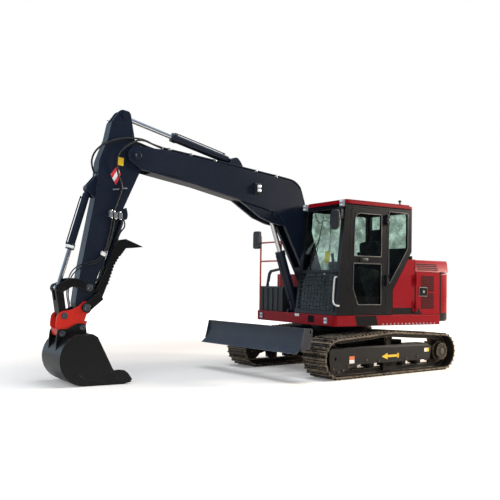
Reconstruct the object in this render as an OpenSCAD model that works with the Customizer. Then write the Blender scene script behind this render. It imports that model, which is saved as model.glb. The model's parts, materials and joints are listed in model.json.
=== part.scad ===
// Crawler excavator of the eight tonne class, with blade, quick hitch and thumb.
// Millimetres. X points forward along the tracks, Y to the cab side, Z up.
// The origin lies on the slew axis, on the ground.

/* [Stance] */
// Turn of the upper structure on the undercarriage, degrees
slew_angle = -6; // [-20:1:20]

/* [Tracks] */
// Distance between the centre lines of the two tracks
track_gauge = 1750; // [1600:10:1900]
// Width of a track shoe
shoe_w = 450; // [400:10:500]
// Forward place of the idler centre
idler_x = 1140; // [1050:10:1250]
// Distance of the sprocket centre behind the slew axis
sprocket_back = 1170; // [1080:10:1280]
// Outside radius of a track end, to the tips of the grousers
track_r = 285; // [260:1:310]
// Height of a grouser bar above its shoe
grouser_h = 24; // [15:1:30]
// Thickness of a shoe plate
shoe_t = 14; // [10:1:18]
// Height of the chain rails under the shoes
rail_h = 66; // [50:1:72]
// Thickness of one chain rail
rail_w = 32; // [24:1:40]
// Clear gap between the two rails of a chain
rail_gap = 56; // [48:1:70]
// Number of shoes on a track
shoe_count = 42; // [36:1:46]
// Rise of the top run where the carrier roller lifts it
crown_rise = 70; // [40:5:90]

/* [Track frame] */
// Height of the beam's underside above the ground
beam_z = 215; // [205:1:240]
// Height of the beam
beam_h = 205; // [180:1:220]
// Thickness of the outer skirt plate
skirt_t = 18; // [12:1:24]
// Number of bottom rollers on one side
roller_count = 5; // [4:1:6]
// Radius of a bottom roller
roller_r = 50; // [40:1:54]

/* [Cylinders] */
// Blade cylinder: length and radius of its barrel, radius of its rod, start of the rod inside the barrel
blade_cyl = [560, 52, 28, 330]; // [20:1:1200]
// Boom cylinder, in the same order
boom_cyl = [930, 66, 36, 560]; // [20:1:1200]
// Arm cylinder, in the same order
arm_cyl = [1010, 56, 32, 800]; // [20:1:1200]
// Bucket cylinder, in the same order
bucket_cyl = [820, 46, 28, 432]; // [20:1:1200]
// Thumb cylinder, in the same order
thumb_cyl = [700, 40, 22, 150]; // [20:1:1200]

/* [Car body] */
// Half length of the centre box
centre_l = 560; // [500:10:600]
// Height of the centre box's top
centre_top = 560; // [540:5:600]
// Outside radius of the slew bearing
bearing_r = 480; // [420:10:520]
// Height of the slew bearing's fixed ring
bearing_h = 78; // [60:1:90]

/* [Blade] */
// Overall width of the blade
blade_w = 2190; // [2000:10:2300]
// Forward place of the blade pivot
blade_pivot_x = 800; // [760:5:840]
// Height of the blade pivot
blade_pivot_z = 430; // [400:5:460]
// Reach of the cutting edge in front of the pivot
blade_reach = 1125; // [1080:5:1180]
// Height of the cutting edge above the ground
blade_edge_z = 389; // [300:1:420]
// Height of the blade
blade_h = 326; // [300:1:350]
// Distance between the centres of the push arms
push_arm_gap = 900; // [800:10:960]

/* [Upper frame] */
// Height of the deck's underside
deck_z = 710; // [700:5:740]
// Thickness of the deck
deck_t = 90; // [70:5:110]
// Forward reach of the front bumper
bumper_x = 972; // [940:1:1000]
// Distance of the deck's rear end behind the slew axis
deck_back = 1100; // [1060:5:1140]
// Left side of the upper structure
left_y = 1030; // [1000:5:1060]
// Right side of the upper structure
right_y = 1000; // [960:5:1040]
// Height of the skirt rails' top
skirt_top = 861; // [840:1:880]
// Thickness of the skirt rails
rail_t = 36; // [25:1:45]
// Tail swing radius
tail_r = 1650; // [1600:5:1700]
// Height of the counterweight's top
weight_top = 1505; // [1440:5:1520]
// Height of the hood's top
hood_top = 1690; // [1650:5:1720]
// Thickness of the body panels
panel_t = 35; // [25:1:45]
// Gap around doors and lids
door_gap = 6; // [5:0.5:8]

/* [Cab] */
// Right side of the cab
cab_right = 80; // [70:5:110]
// Thickness of the cab's walls and of its door
cab_wall = 45; // [38:1:55]
// Height of the cab's floor
cab_floor = 868; // [865:1:890]
// Height of the cab frame's top
cab_top = 2440; // [2380:5:2480]
// Forward place of the cab's front at the floor
cab_front_low = 955; // [940:1:960]
// Forward place of the cab's front at the roof
cab_front_high = 790; // [760:1:820]
// Distance of the cab's upper back behind the slew axis
cab_back = 490; // [470:5:500]
// Distance of the cab's lower back behind the slew axis
cab_back_low = 110; // [90:5:140]
// Height where the back starts to slope forward
slope_top = 1800; // [1760:5:1840]
// Height where the slope of the back ends
slope_low = 1230; // [1190:5:1260]
// Thickness of the roof panel
roof_t = 62; // [50:1:80]
// Thickness of the window glass
glass_t = 6; // [5:1:8]

/* [Boom] */
// Offset of the boom plane from the slew axis
boom_y = -100; // [-130:5:-90]
// Forward place of the boom foot pin
foot_x = 480; // [460:5:500]
// Height of the boom foot pin
foot_z = 1200; // [1180:5:1220]
// Forward reach from the foot pin to the nose pin
nose_dx = 3037; // [2950:5:3100]
// Rise from the foot pin to the nose pin
nose_dz = 1742; // [1680:5:1800]
// Width of the boom box
boom_w = 270; // [240:5:280]
// Thickness of a fork cheek at the boom nose
fork_t = 40; // [30:1:50]

/* [Arm] */
// Length from the nose pin to the tip pin, forward part
tip_dx = 633; // [600:5:660]
// Length from the nose pin to the tip pin, downward part
tip_dz = 1992; // [1950:2:2040]
// Width of the arm box
arm_w = 200; // [190:5:220]

/* [Bucket] */
// Width of the bucket
bucket_w = 760; // [700:10:900]
// Radius of the bucket's back
bucket_r = 325; // [300:5:340]
// Thickness of the bucket's shell
shell_t = 22; // [16:1:30]
// Number of teeth
tooth_count = 5; // [4:1:6]
// Width of a tooth
tooth_w = 64; // [50:1:80]
// Thickness of a hitch cheek
cheek_t = 30; // [24:1:36]

/* [Pins and fits] */
// Radius of the main pins
pin_r = 32; // [28:1:36]
// Radius of the small pins
small_pin_r = 24; // [20:1:28]
// Radial running clearance of a pin in its bore
pin_fit = 0.05; // [0.02:0.01:0.1]
// Side clearance between moving plates
side_gap = 6; // [5:0.5:8]
// Gap between faces that rest on each other without a fit
seat_gap = 0.3; // [0.2:0.1:0.5]

/* [Hidden] */
$fn = 48;
left_inner = left_y - rail_t;
right_inner = right_y - rail_t;
wheel_z = track_r;
sprocket_x = -sprocket_back;
plate_r = track_r - grouser_h;
rail_outer_r = plate_r - shoe_t;
rail_inner_r = rail_outer_r - rail_h;
foot = [foot_x, foot_z];
nose = foot + [nose_dx, nose_dz];
tip = nose + [tip_dx, -tip_dz];

// Unit vector along v
function unit(v) = v / norm(v);
// Points of an outline whose corners [x, z, r] are rounded with radius r
function rounded(pts, n = 6) = [for (i = [0 : len(pts) - 1])
    each corner(pts[(i + len(pts) - 1) % len(pts)], pts[i], pts[(i + 1) % len(pts)], n)];
function flat(p) = [p[0], p[1]];
function corner(a, b, c, n) = len(b) < 3 || b[2] == 0 ? [flat(b)] : arc_corner(flat(a), flat(b), flat(c),
    b[2], n);
function arc_corner(a, b, c, r, n) =
    let (u = unit(a - b), v = unit(c - b), half = acos(u * v) / 2)
    let (m = b + unit(u + v) * r / sin(half), s = b + u * r / tan(half), e = b + v * r / tan(half))
    let (a0 = atan2(s.y - m.y, s.x - m.x), a1 = atan2(e.y - m.y, e.x - m.x))
    let (turn = (a1 - a0 + 540) % 360 - 180)
    [for (k = [0 : n]) m + r * [cos(a0 + turn * k / n), sin(a0 + turn * k / n)]];
// Points of an arc
function arc(c, r, a0, a1, n = 8) = [for (k = [0 : n]) c + r * [cos(a0 + (a1 - a0) * k / n), sin(a0 +
    (a1 - a0) * k / n)]];

// Places what rides on the slewed upper structure
module slewed() rotate([0, 0, slew_angle]) children();
// Extrudes a side view outline (x, z) over width w about the plane y
module slab(w, y = 0) translate([0, y + w / 2, 0]) rotate([90, 0, 0]) linear_extrude(w) children();
// The same slab on both sides of the plane y, from gap g apart
module pair(w, g, y = 0) for (s = [-1, 1]) slab(w, y + s * (g + w) / 2) children();
// A round bar along Y, centred on the plane y, at the side view point p
module bar(p, r, w, y = 0) translate([p.x, y, p.y]) rotate([90, 0, 0]) cylinder(r = r, h = w,
    center = true);
// A round bar between two points
module tube(p, q, r) {
    d = q - p;
    translate(p) rotate([0, acos(d.z / norm(d)), atan2(d.y, d.x)]) cylinder(r = r, h = norm(d));
}
// A block from one corner to the opposite one
module block(a, b) translate(a) cube(b - a);
// A corner beside the point p, with its radius
function at(p, x, z, r = 0) = [p.x + x, p.y + z, r];
// Points of an outline, counter-clockwise, moved inwards by d
function inset(pts, d) = [for (i = [0 : len(pts) - 1])
    let (u = unit(pts[i] - pts[(i + len(pts) - 1) % len(pts)]), v = unit(pts[(i + 1) % len(pts)] - pts[i]))
    let (n = [-u.y, u.x], m = [-v.y, v.x])
    pts[i] + (n + m) * d / (1 + n * m)];
// A box section of an outline: width w, walls of thickness t
module box_section(pts, w, t, y) {
    difference() {
        slab(w, y) polygon(pts);
        slab(w - 2 * t, y) polygon(inset(pts, t));
    }
}
// A closed box with walls of thickness t
module hollow_block(a, b, t) {
    difference() {
        block(a, b);
        block(a + [t, t, t], b - [t, t, t]);
    }
}

// Track loop: six pieces, by arc length from below the sprocket, counter-clockwise
sprocket_c = [sprocket_x, wheel_z];
idler_c = [idler_x, wheel_z];
crown_c = [0, wheel_z + crown_rise];
front_slope = atan2(crown_rise, idler_x);
rear_slope = atan2(crown_rise, sprocket_back);
function swept(a) = plate_r * a * PI / 180;
piece_start = [sprocket_c, idler_c, idler_c, crown_c, crown_c, sprocket_c];
piece_angle = [-90, -90, 90 - front_slope, 90 - front_slope, 90 + rear_slope, 90 + rear_slope];
piece_turn = [0, 180 - front_slope, 0, front_slope + rear_slope, 0, 180 - rear_slope];
piece_len = [idler_x + sprocket_back, swept(piece_turn[1]), norm(crown_c - idler_c), swept(piece_turn[3]),
    norm(sprocket_c - crown_c), swept(piece_turn[5])];
loop_len = piece_len * [1, 1, 1, 1, 1, 1];
shoe_pitch = loop_len / shoe_count;
function loop_at(s, h, k = 0) = s <= piece_len[k] || k == 5 ? point_on(k, s, h)
    : loop_at(s - piece_len[k], h, k + 1);
function point_on(k, s, h) =
    let (a = piece_angle[k] + piece_turn[k] * s / piece_len[k], along = piece_turn[k] == 0 ? s : 0)
    piece_start[k] + along * [-sin(a), cos(a)] + (plate_r + h) * [cos(a), sin(a)];
arc_steps = 14;
function loop_ring(r) = concat(arc(idler_c, r, -90, 90 - front_slope, arc_steps), arc(crown_c, r,
    90 - front_slope, 90 + rear_slope, 2),
    arc(sprocket_c, r, 90 + rear_slope, 270, arc_steps));
// One shoe along its pitch: a groove at the joint, then two grouser bars
bar_places = [0.27, 0.75];
bar_foot = 0.075;
bar_top = 0.035;
shoe_joint = 0.03;
shoe_outline = concat([[0, -shoe_t / 2], [shoe_joint, 0]],
    [for (c = bar_places) each [[c - bar_foot, 0], [c - bar_top, grouser_h], [c + bar_top, grouser_h],
        [c + bar_foot, 0]]],
    [[1 - shoe_joint, 0]]);
module track(y) {
    color("#2a2826") {
        slab(shoe_w, y) difference() {
            polygon([for (k = [0 : shoe_count - 1]) for (p = shoe_outline) loop_at((k + p.x)
                * shoe_pitch, p.y)]);
            polygon(loop_ring(rail_outer_r));
        }
        pair(rail_w, rail_gap, y) difference() {
            polygon(loop_ring(rail_outer_r));
            polygon(loop_ring(rail_inner_r));
        }
    }
}
module left_track() track(track_gauge / 2);
module right_track() track(-track_gauge / 2);

// Track frame: a beam between idler and sprocket, a fork, hangers and a skirt plate
beam_half = 110;
beam_end = 890;
beam_top = beam_z + beam_h;
chain_w = rail_gap + 2 * rail_w;
axle_r = 35;
hanger_t = 20;
hanger_gap = chain_w + 20;
tread_r = rail_inner_r * cos(90 / arc_steps) - seat_gap;
roller_z = wheel_z - rail_inner_r + seat_gap + roller_r;
roller_pitch = 2 * (beam_end - 190) / (roller_count - 1);
function roller_x(i) = -(beam_end - 190) + i * roller_pitch;
carrier_r = 48;
carrier_z = wheel_z + crown_rise + rail_inner_r - seat_gap - carrier_r;
skirt_y = 160;
tie_r = 24;
tie_at = [idler_x + 29, wheel_z];
beam_wall = 22;
beam_outline = [[-beam_half, beam_z], [skirt_y, beam_z], [skirt_y, beam_top - 60], [beam_half, beam_top],
    [-beam_half, beam_top]];
skirt_low = wheel_z - rail_outer_r + 20;
module skirt_outline() polygon(rounded([[-beam_end - 26, beam_top - 32, 30], [-beam_end + 13, beam_z +
    56], [-beam_end + 53, beam_z - 36, 30],
    [idler_x - 467, beam_z - 24], [idler_x - 202, skirt_low + 72, 60], [idler_x - 42, skirt_low, 60],
        [idler_x + 56, skirt_low, 50],
    [idler_x + 122, skirt_low + 38, 60], [idler_x + 145, beam_z + 40, 60], [idler_x + 140, beam_top, 40],
        [idler_x - 509, beam_top], [17, beam_top - 26]]));
guide_t = 16;
guide_x = [-177, 143];
module track_frame(side) {
    y = side * track_gauge / 2;
    color("#3a3530") translate([0, y, 0]) mirror([0, side < 0 ? 1 : 0, 0]) {
        difference() {
            union() {
                difference() {
                    rotate([90, 0, 90]) translate([0, 0, -beam_end]) linear_extrude(2 * beam_end)
                        polygon(beam_outline);
                    rotate([90, 0, 90]) translate([0, 0, -beam_end + beam_wall])
                        linear_extrude(2 * (beam_end - beam_wall))
                        polygon(inset(beam_outline, beam_wall));
                }
                slab(skirt_t, skirt_y + skirt_t / 2) skirt_outline();
            }
            bar(tie_at, tie_r, 4 * skirt_t, skirt_y);
        }
        // Fork plates that carry the idler, and the mount of the drive motor
        pair(hanger_t, hanger_gap) polygon(rounded([[beam_end, beam_z + 15], [idler_x + 60, beam_z + 15,
            40], [idler_x + 60, beam_top - 60, 40], [beam_end, beam_top - 30]]));
        for (i = [0 : roller_count - 1])
            pair(hanger_t, hanger_gap) polygon([[roller_x(i) - 55, beam_z], [roller_x(i) - 40,
                roller_z - axle_r - 8],
                [roller_x(i) + 40, roller_z - axle_r - 8], [roller_x(i) + 55, beam_z]]);
        slab(guide_t, beam_half - guide_t / 2) difference() {
            polygon([[guide_x[0], beam_z], [guide_x[0] + 20, skirt_low], [guide_x[1] - 20, skirt_low],
                [guide_x[1], beam_z]]);
            translate([0, roller_z]) circle(r = axle_r + 8);
        }
        pair(hanger_t, hanger_gap) polygon([[-60, beam_top], [60, beam_top], [40, carrier_z + axle_r],
            [-40, carrier_z + axle_r]]);
        slab(40, -beam_half + 20) polygon([[-beam_end, beam_z + 20], [-beam_end, beam_top - 20],
            [sprocket_x + 80, beam_top - 40], [sprocket_x + 80, beam_z + 40]]);
    }
}
module left_track_frame() track_frame(1);
module right_track_frame() track_frame(-1);

// Rollers turn between the hangers; the sprocket teeth run between the rails
module rollers() {
    color("#2f2d2b") for (y = [-1, 1] * track_gauge / 2) {
        for (i = [0 : roller_count - 1]) {
            bar([roller_x(i), roller_z], roller_r, chain_w, y);
            bar([roller_x(i), roller_z], axle_r, hanger_gap - 2 * seat_gap, y);
        }
        bar([0, carrier_z], carrier_r, chain_w, y);
        bar([0, carrier_z], axle_r, hanger_gap - 2 * seat_gap, y);
    }
}
flange_w = rail_gap - 10;
module idlers() {
    color("#2f2d2b") for (y = [-1, 1] * track_gauge / 2) {
        bar(idler_c, tread_r, chain_w, y);
        bar(idler_c, tread_r + 22, flange_w, y);
        bar(idler_c, 60, hanger_gap - 2 * seat_gap, y);
    }
}
tooth_n = 19;
tooth_tip_r = rail_outer_r - 10;
tooth_root_r = rail_inner_r - 8;
hub_r = 150;
drive_cover_r = 125;
drive_out = 175;
module drive_sprockets() {
    color("#2b2a29") for (side = [-1, 1]) translate([0, side * track_gauge / 2, 0]) {
        slab(flange_w) polygon([for (k = [0 : tooth_n - 1]) for (p = [[-0.30, 0], [-0.14, 1], [0.14, 1],
            [0.30, 0]])
            sprocket_c + (tooth_root_r + p.y * (tooth_tip_r - tooth_root_r)) * [cos((k + p.x)
                * 360 / tooth_n), sin((k + p.x) * 360 / tooth_n)]]);
        bar(sprocket_c, hub_r, drive_out - 70, side * (drive_out - 70) / 2);
        bar(sprocket_c, drive_cover_r, drive_out, side * drive_out / 2);
        bar(sprocket_c, hub_r, beam_half - 40 - seat_gap, -side * (beam_half - 40 - seat_gap) / 2);
    }
}

// Car body: a centre box on four legs, with the lugs of the blade at its front
leg_in = track_gauge / 2 - beam_half - seat_gap;
lug_t = 30;
push_t = 70;
blade_pivot = [blade_pivot_x, blade_pivot_z];
blade_eye = blade_pivot + [720, 148];
blade_base = blade_pivot + [-90, 175];
blade_eye_w = 70;
centre_half_w = 560;
centre_wall = 40;
leg_z = 300;
leg_top = 470;
module car_body() {
    color("#262626") {
        difference() {
            hollow_block([-centre_l, -centre_half_w, leg_z], [centre_l, centre_half_w, centre_top],
                centre_wall);
            translate([0, 0, leg_z - 1]) cylinder(r = 200, h = 400);
        }
        for (side = [-1, 1]) for (end = [-1, 1])
            translate([0, side > 0 ? centre_half_w : -leg_in, 0])
                block([end * 390 - 150, 0, leg_z], [end * 390 + 150, leg_in - centre_half_w, leg_top]);
        for (side = [-1, 1]) {
            pair(lug_t, push_t + 2 * side_gap, side * push_arm_gap / 2) polygon(rounded([[centre_l,
                leg_z + 20], [blade_pivot_x, leg_z + 40, 30],
                [blade_pivot_x + 55, blade_pivot_z, 40], [blade_pivot_x, blade_pivot_z + 60, 40],
                    [centre_l, blade_pivot_z + 90]]));
            bar(blade_pivot, pin_r, push_t + 2 * side_gap + 2 * lug_t, side * push_arm_gap / 2);
        }
        pair(lug_t, blade_eye_w + 2 * side_gap) polygon(rounded([[centre_l, blade_base.y - 130],
            [blade_base.x + 30, blade_base.y - 60, 30],
            [blade_base.x + 50, blade_base.y + 10, 40], [blade_base.x, blade_base.y + 45, 30], [centre_l,
                blade_base.y - 45]]));
        bar(blade_base, small_pin_r, blade_eye_w + 2 * side_gap + 2 * lug_t);
    }
}
module swing_bearing() {
    color("#1f1f1f") translate([0, 0, centre_top]) difference() {
        cylinder(r = bearing_r, h = bearing_h);
        translate([0, 0, -1]) cylinder(r = bearing_r - 90, h = bearing_h + 2);
    }
}

// Blade: a curved mouldboard with end plates, a back tube and two push arms
edge = blade_pivot + [blade_reach, blade_edge_z - blade_pivot_z];
blade_top = edge + [-150, blade_h];
board_t = 18;
board_r = 420;
end_t = 22;
board_mid = (edge + [-85, 70] + blade_top) / 2;
board_dir = unit(blade_top - edge - [-85, 70]);
board_half = norm(blade_top - edge - [-85, 70]) / 2;
board_c = board_mid + sqrt(board_r * board_r - board_half * board_half) * [board_dir.y, -board_dir.x];
board_a0 = atan2(blade_top.y - board_c.y, blade_top.x - board_c.x);
board_a1 = atan2(edge.y + 70 - board_c.y, edge.x - 85 - board_c.x) + 360;
module blade() {
    color("#2e3440") {
        slab(blade_w - 2 * end_t) polygon(concat(arc(board_c, board_r, board_a0, board_a1, 10), [edge,
            edge + [-28, -6]],
            arc(board_c, board_r + board_t, board_a1, board_a0, 10)));
        pair(end_t, blade_w - 2 * end_t) difference() {
            polygon(rounded([blade_top + [6, 4], at(blade_top, -140, -8, 20), at(edge, -250, 70, 30),
                at(edge, -90, 18, 20), edge + [-85, 75]]));
            translate(blade_top + [-105, -75]) square([24, 50]);
        }
        slab(blade_w - 2 * end_t) polygon([edge + [-262, 95], edge + [-150, 80], edge + [-158, 170],
            edge + [-262, 190]]);
        for (side = [-1, 1]) difference() {
            slab(push_t, side * push_arm_gap / 2) polygon(rounded([at(blade_pivot, -45, 0, 40),
                at(blade_pivot, 0, -55, 40), edge + [-255, 60],
                edge + [-255, 190], at(blade_pivot, 0, 55, 40)]));
            bar(blade_pivot, pin_r + pin_fit, 2 * push_t, side * push_arm_gap / 2);
        }
        pair(lug_t, blade_eye_w + 2 * side_gap) polygon(rounded([edge + [-255, 95], edge + [-255, 190],
            at(blade_eye, 0, 60, 50), at(blade_eye, -60, 0, 50), at(blade_eye, 0, -70, 40)]));
        for (side = [-1, 1]) bar(blade_eye, small_pin_r, 14, side * (blade_eye_w / 2 + side_gap + lug_t +
            7));
    }
}

// Hydraulic cylinders: a barrel on its base pin, and a rod that slides out of it
module along(p, q, y) translate([p.x, y, p.y]) rotate([0, 90 - atan2(q.y - p.y, q.x - p.x), 0]) children();
rod_fit = 0.05;
gland_l = 70;
gland_step = 9;
cap_l = 25;
neck_step = 4;
eye_wall = 26;
module barrel(base, eye, neck, len, r, rod_r, hole_r, eye_w, y) {
    color("#15181f") difference() {
        union() {
            along(base, eye, y) cylinder(r = min(r, eye_w / 2 - neck_step), h = neck + 1);
            along(base, eye, y) translate([0, 0, neck]) cylinder(r = r, h = len - neck);
            along(base, eye, y) translate([0, 0, len - gland_l]) cylinder(r = r + gland_step, h = gland_l);
            bar(base, hole_r + eye_wall, eye_w, y);
        }
        bar(base, hole_r + pin_fit, 2 * eye_w, y);
        along(base, eye, y) translate([0, 0, neck + cap_l]) cylinder(r = rod_r + rod_fit, h = len);
    }
}
module rod(base, eye, inner, rod_r, eye_r, eye_w, y) {
    color("#c9ccd0") {
        along(base, eye, y) translate([0, 0, inner]) cylinder(r = rod_r, h = norm(eye - base) - inner);
        bar(eye, eye_r, eye_w, y);
    }
}
neck_l = 100;
small_neck_l = 78;
module blade_barrel() barrel(blade_base, blade_eye, small_neck_l, blade_cyl[0], blade_cyl[1],
    blade_cyl[2], small_pin_r, blade_eye_w, 0);
module blade_rod() rod(blade_base, blade_eye, blade_cyl[3], blade_cyl[2], 48, blade_eye_w, 0);

// Upper frame: the deck with its slew ring, and the brackets of the boom and its cylinder
deck_top = deck_z + deck_t;
deck_front = bumper_x - rail_t;
deck_wall = 22;
pad_x = [0, 820];
pad_in = 130;
pad_half = 60;
bracket_t = 40;
foot_w = boom_w - 30;
boom_base = foot + [340, -300];
boom_eye = foot + [835, 1105];
boom_eye_w = 150;
module upper_frame() {
    color("#1d1d1d") slewed() {
        hollow_block([-deck_back, -right_inner, deck_z], [deck_front, left_inner, deck_top], deck_wall);
        translate([0, 0, centre_top + bearing_h + seat_gap]) difference() {
            cylinder(r = bearing_r - 10, h = deck_z - centre_top - bearing_h - seat_gap);
            translate([0, 0, -1]) cylinder(r = bearing_r - 85, h = deck_z);
        }
        pair(bracket_t, foot_w + 2 * side_gap, boom_y) polygon(rounded([[foot_x - 330, deck_top],
            [foot_x + 300, deck_top],
            at(foot, 115, -80, 60), at(foot, 105, 100, 80), at(foot, -105, 100, 80), at(foot, -140, -60,
                60)]));
        bar(foot, pin_r, foot_w + 2 * side_gap + 2 * bracket_t, boom_y);
        pair(bracket_t, boom_eye_w + 2 * side_gap, boom_y) polygon(rounded([[boom_base.x - 150,
            deck_top], [boom_base.x + 90, deck_top],
            at(boom_base, 75, 10, 60), at(boom_base, 0, 85, 60), at(boom_base, -75, 10, 60)]));
        bar(boom_base, pin_r, boom_eye_w + 2 * side_gap + 2 * bracket_t, boom_y);
        for (x = pad_x) for (y = [cab_right + pad_in, left_y - pad_in])
            block([x - pad_half, y - pad_half, deck_top], [x + pad_half, y + pad_half, cab_floor]);
    }
}
// Skirt rails around the deck, with rounded front corners
module rectangle(a, b) translate(a) square(b - a);
module skirt_rails() {
    color("#a3142a") slewed() translate([0, 0, deck_z]) linear_extrude(skirt_top - deck_z) difference() {
        polygon(rounded([[bumper_x, -right_y, 90], [bumper_x, left_y, 60], [-deck_back, left_y],
            [-deck_back, -right_y]]));
        rectangle([-deck_back - 1, -right_inner], [deck_front, left_inner]);
    }
}
// Counterweight with a round tail
weight_low = 754;
weight_in = 20;
weight_t = 90;
tail_steps = 24;
function tail_plan(r, front, right, left) = concat([[-front, left]],
    arc([0, 0], r, 180 - asin(left / r), 180 + asin(right / r), tail_steps), [[-front, -right]]);
module counterweight() {
    color("#8e1122") slewed() difference() {
        translate([0, 0, weight_low]) linear_extrude(weight_top - weight_low)
            polygon(tail_plan(tail_r, deck_back + seat_gap, right_y - weight_in, left_y - weight_in));
        translate([0, 0, weight_low + weight_t]) linear_extrude(weight_top - weight_low - 2 * weight_t)
            polygon(tail_plan(tail_r - weight_t, deck_back + weight_t, right_y - weight_in - weight_t,
                left_y - weight_in - weight_t));
    }
}
engine_x = -1000;
engine_l = 320;
engine_w = 760;
engine_h = 480;
module engine_block() {
    color("#4a4a4a") slewed() block([engine_x, -engine_w / 2, deck_top], [engine_x + engine_l,
        engine_w / 2, deck_top + engine_h]);
}

// Hinge on a vertical line: x away from the frame into the leaf, y out of its face
knuckle_r = 16;
knuckle_l = 50;
knuckle_pin_r = 8;
hinge_out = knuckle_r + 1;
strap_l = 60;
strap_t = 10;
module hinge_on_frame() {
    for (e = [-1, 1]) translate([0, 0, e * (knuckle_l + 1)]) {
        translate([0, hinge_out, 0]) cylinder(r = knuckle_r, h = knuckle_l, center = true);
        block([-strap_l, 0, -knuckle_l / 2], [0, strap_t, knuckle_l / 2]);
    }
    translate([0, hinge_out, 0]) cylinder(r = knuckle_pin_r, h = 2 * knuckle_l, center = true);
}
module hinge_on_leaf() {
    difference() {
        union() {
            translate([0, hinge_out, 0]) cylinder(r = knuckle_r, h = knuckle_l, center = true);
            block([0, 0, -knuckle_l / 2], [strap_l, strap_t, knuckle_l / 2]);
        }
        translate([0, hinge_out, 0]) cylinder(r = knuckle_pin_r + pin_fit, h = 2 * knuckle_l,
            center = true);
    }
}

// Engine bay: firewall, left panel behind the cab's slope, two service doors and the hood
bay_front = 575;
door_low = skirt_top + door_gap;
door_top = weight_top;
hinge_x = -bay_front;
slope_run = (cab_back - cab_back_low) / (slope_top - slope_low);
function slope_x(z) = -cab_back_low - (z - slope_low) * slope_run;
panel_clear = 8;
service_hinges = [door_low + 120, door_top - 120];
module left_panel() {
    color("#a3142a") slewed() {
        slab(panel_t, left_y - panel_t / 2) polygon([[-cab_back_low - panel_clear, skirt_top],
            [-cab_back_low - panel_clear, slope_low],
            [slope_x(hood_top) - panel_clear, hood_top], [hinge_x + door_gap, hood_top], [hinge_x +
                door_gap, skirt_top]]);
        for (z = service_hinges) translate([hinge_x, left_y, z]) mirror([1, 0, 0]) hinge_on_frame();
    }
}
hood_hinges = [-500, 500];
wall_x = hinge_x + door_gap;
module firewall() {
    color("#1d1d1d") slewed() {
        block([wall_x, -right_inner + seat_gap, deck_top], [wall_x + panel_t, left_inner - seat_gap,
            hood_top]);
        block([wall_x, -right_y, skirt_top], [wall_x + panel_t, -right_inner + 1, hood_top]);
        for (y = hood_hinges) translate([hinge_x, y, hood_top]) rotate([90, 0, 0]) mirror([1, 0, 0])
            hinge_on_frame();
        for (z = service_hinges) translate([hinge_x, -right_y, z]) mirror([0, 1, 0]) mirror([1, 0, 0])
            hinge_on_frame_short();
    }
}
module hinge_on_frame_short() {
    intersection() {
        hinge_on_frame();
        block([-panel_t, -1, -2 * knuckle_l], [strap_l, 4 * knuckle_r, 2 * knuckle_l]);
    }
}
// A service door in its own place: x back from its hinge, y out of its face
service_l = deck_back - bay_front - door_gap;
louvre_h = 14;
louvre_pitch = 30;
louvre_deep = 10;
module service_door() {
    difference() {
        block([door_gap, -panel_t, door_low], [service_l, 0, door_top]);
        for (k = [0 : 7]) for (z = [door_low + 90, door_low + 350])
            block([120, -louvre_deep, z + k * louvre_pitch], [service_l - 130, 1, z + k * louvre_pitch +
                louvre_h]);
    }
    block([180, 0, door_low + 300 + 8], [250, 8, door_low + 300 + 46]);
    for (z = service_hinges) translate([0, 0, z]) hinge_on_leaf();
}
module service_door_left() color("#a3142a") slewed() translate([hinge_x, left_y, 0]) mirror([1, 0, 0])
    service_door();
module service_door_right() color("#a3142a") slewed() translate([hinge_x, -right_y, 0]) mirror([0, 1, 0])
    mirror([1, 0, 0]) service_door();
// Hood: a lid with sloped sides, open below
hood_low = door_top + door_gap;
tail_gap = 10;
function hood_outline(d) = [[left_y - d, hood_low], [left_y - 60 - d, hood_top - 45 - d / 2],
    [left_y - 110 - d, hood_top - d],
    [-right_y + 110 + d, hood_top - d], [-right_y + 60 + d, hood_top - 45 - d / 2], [-right_y + d,
        hood_low]];
module hood_form(d) {
    intersection() {
        translate([hinge_x - door_gap + d / 10, 0, 0]) rotate([90, 0, -90]) linear_extrude(tail_r)
            mirror([1, 0]) polygon(hood_outline(d));
        linear_extrude(2 * hood_top) polygon(tail_plan(tail_r - tail_gap - d, 0, right_y + 10, left_y +
            10));
    }
}
module hood() {
    color("#a3142a") slewed() {
        difference() {
            hood_form(0);
            translate([0, 0, -1]) hood_form(panel_t);
        }
        for (y = hood_hinges) translate([hinge_x, y, hood_top]) rotate([90, 0, 0]) mirror([1, 0, 0])
            hinge_on_leaf();
    }
}
// Right side: tank housing and ribbed toolbox
tank_in = 290;
tank_front = 555;
tank_top = 1450;
module tank_housing() {
    color("#a3142a") slewed() hollow_block([wall_x + panel_t + seat_gap, -right_y, skirt_top],
        [tank_front, -tank_in, tank_top], panel_t);
}
cover_top = 1240;
cover_front = 110;
module valve_cover() {
    color("#1d1d1f") slewed() hollow_block([wall_x + panel_t + seat_gap, -tank_in + seat_gap, deck_top],
        [cover_front, cab_right - panel_clear, cover_top], panel_t);
}
box_top = 1250;
rib_n = 5;
rib_t = 12;
arch_t = 36;
arch_x = 815;
arch_line = [[-right_y + 110, box_top - 5], [-tank_in - 30, box_top - 5], [-tank_in - 45, box_top + 255],
    [-tank_in - 110, box_top + 305],
    [-right_y + 218, box_top + 258], [-right_y + 165, box_top + 205]];
module toolbox() {
    color("#1b1b1d") slewed() {
        hollow_block([tank_front + seat_gap, -right_y + 70, skirt_top], [deck_front - rib_t, -tank_in,
            box_top], 20);
        for (k = [0 : rib_n - 1]) translate([deck_front - rib_t, -right_y + 110 +
            k * (right_y - tank_in - 150) / (rib_n - 1), skirt_top])
            cube([rib_t, 40, box_top - skirt_top - 30]);
        front_slab(arch_x, arch_x + arch_t) difference() {
            polygon(arch_line);
            polygon(inset(arch_line, arch_t));
            translate([arch_line[0].x + arch_t + 5, box_top])
                square([arch_line[1].x - arch_line[0].x - 2 * arch_t - 10, 2 * arch_t]);
        }
    }
}
rail_r = 14;
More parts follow.
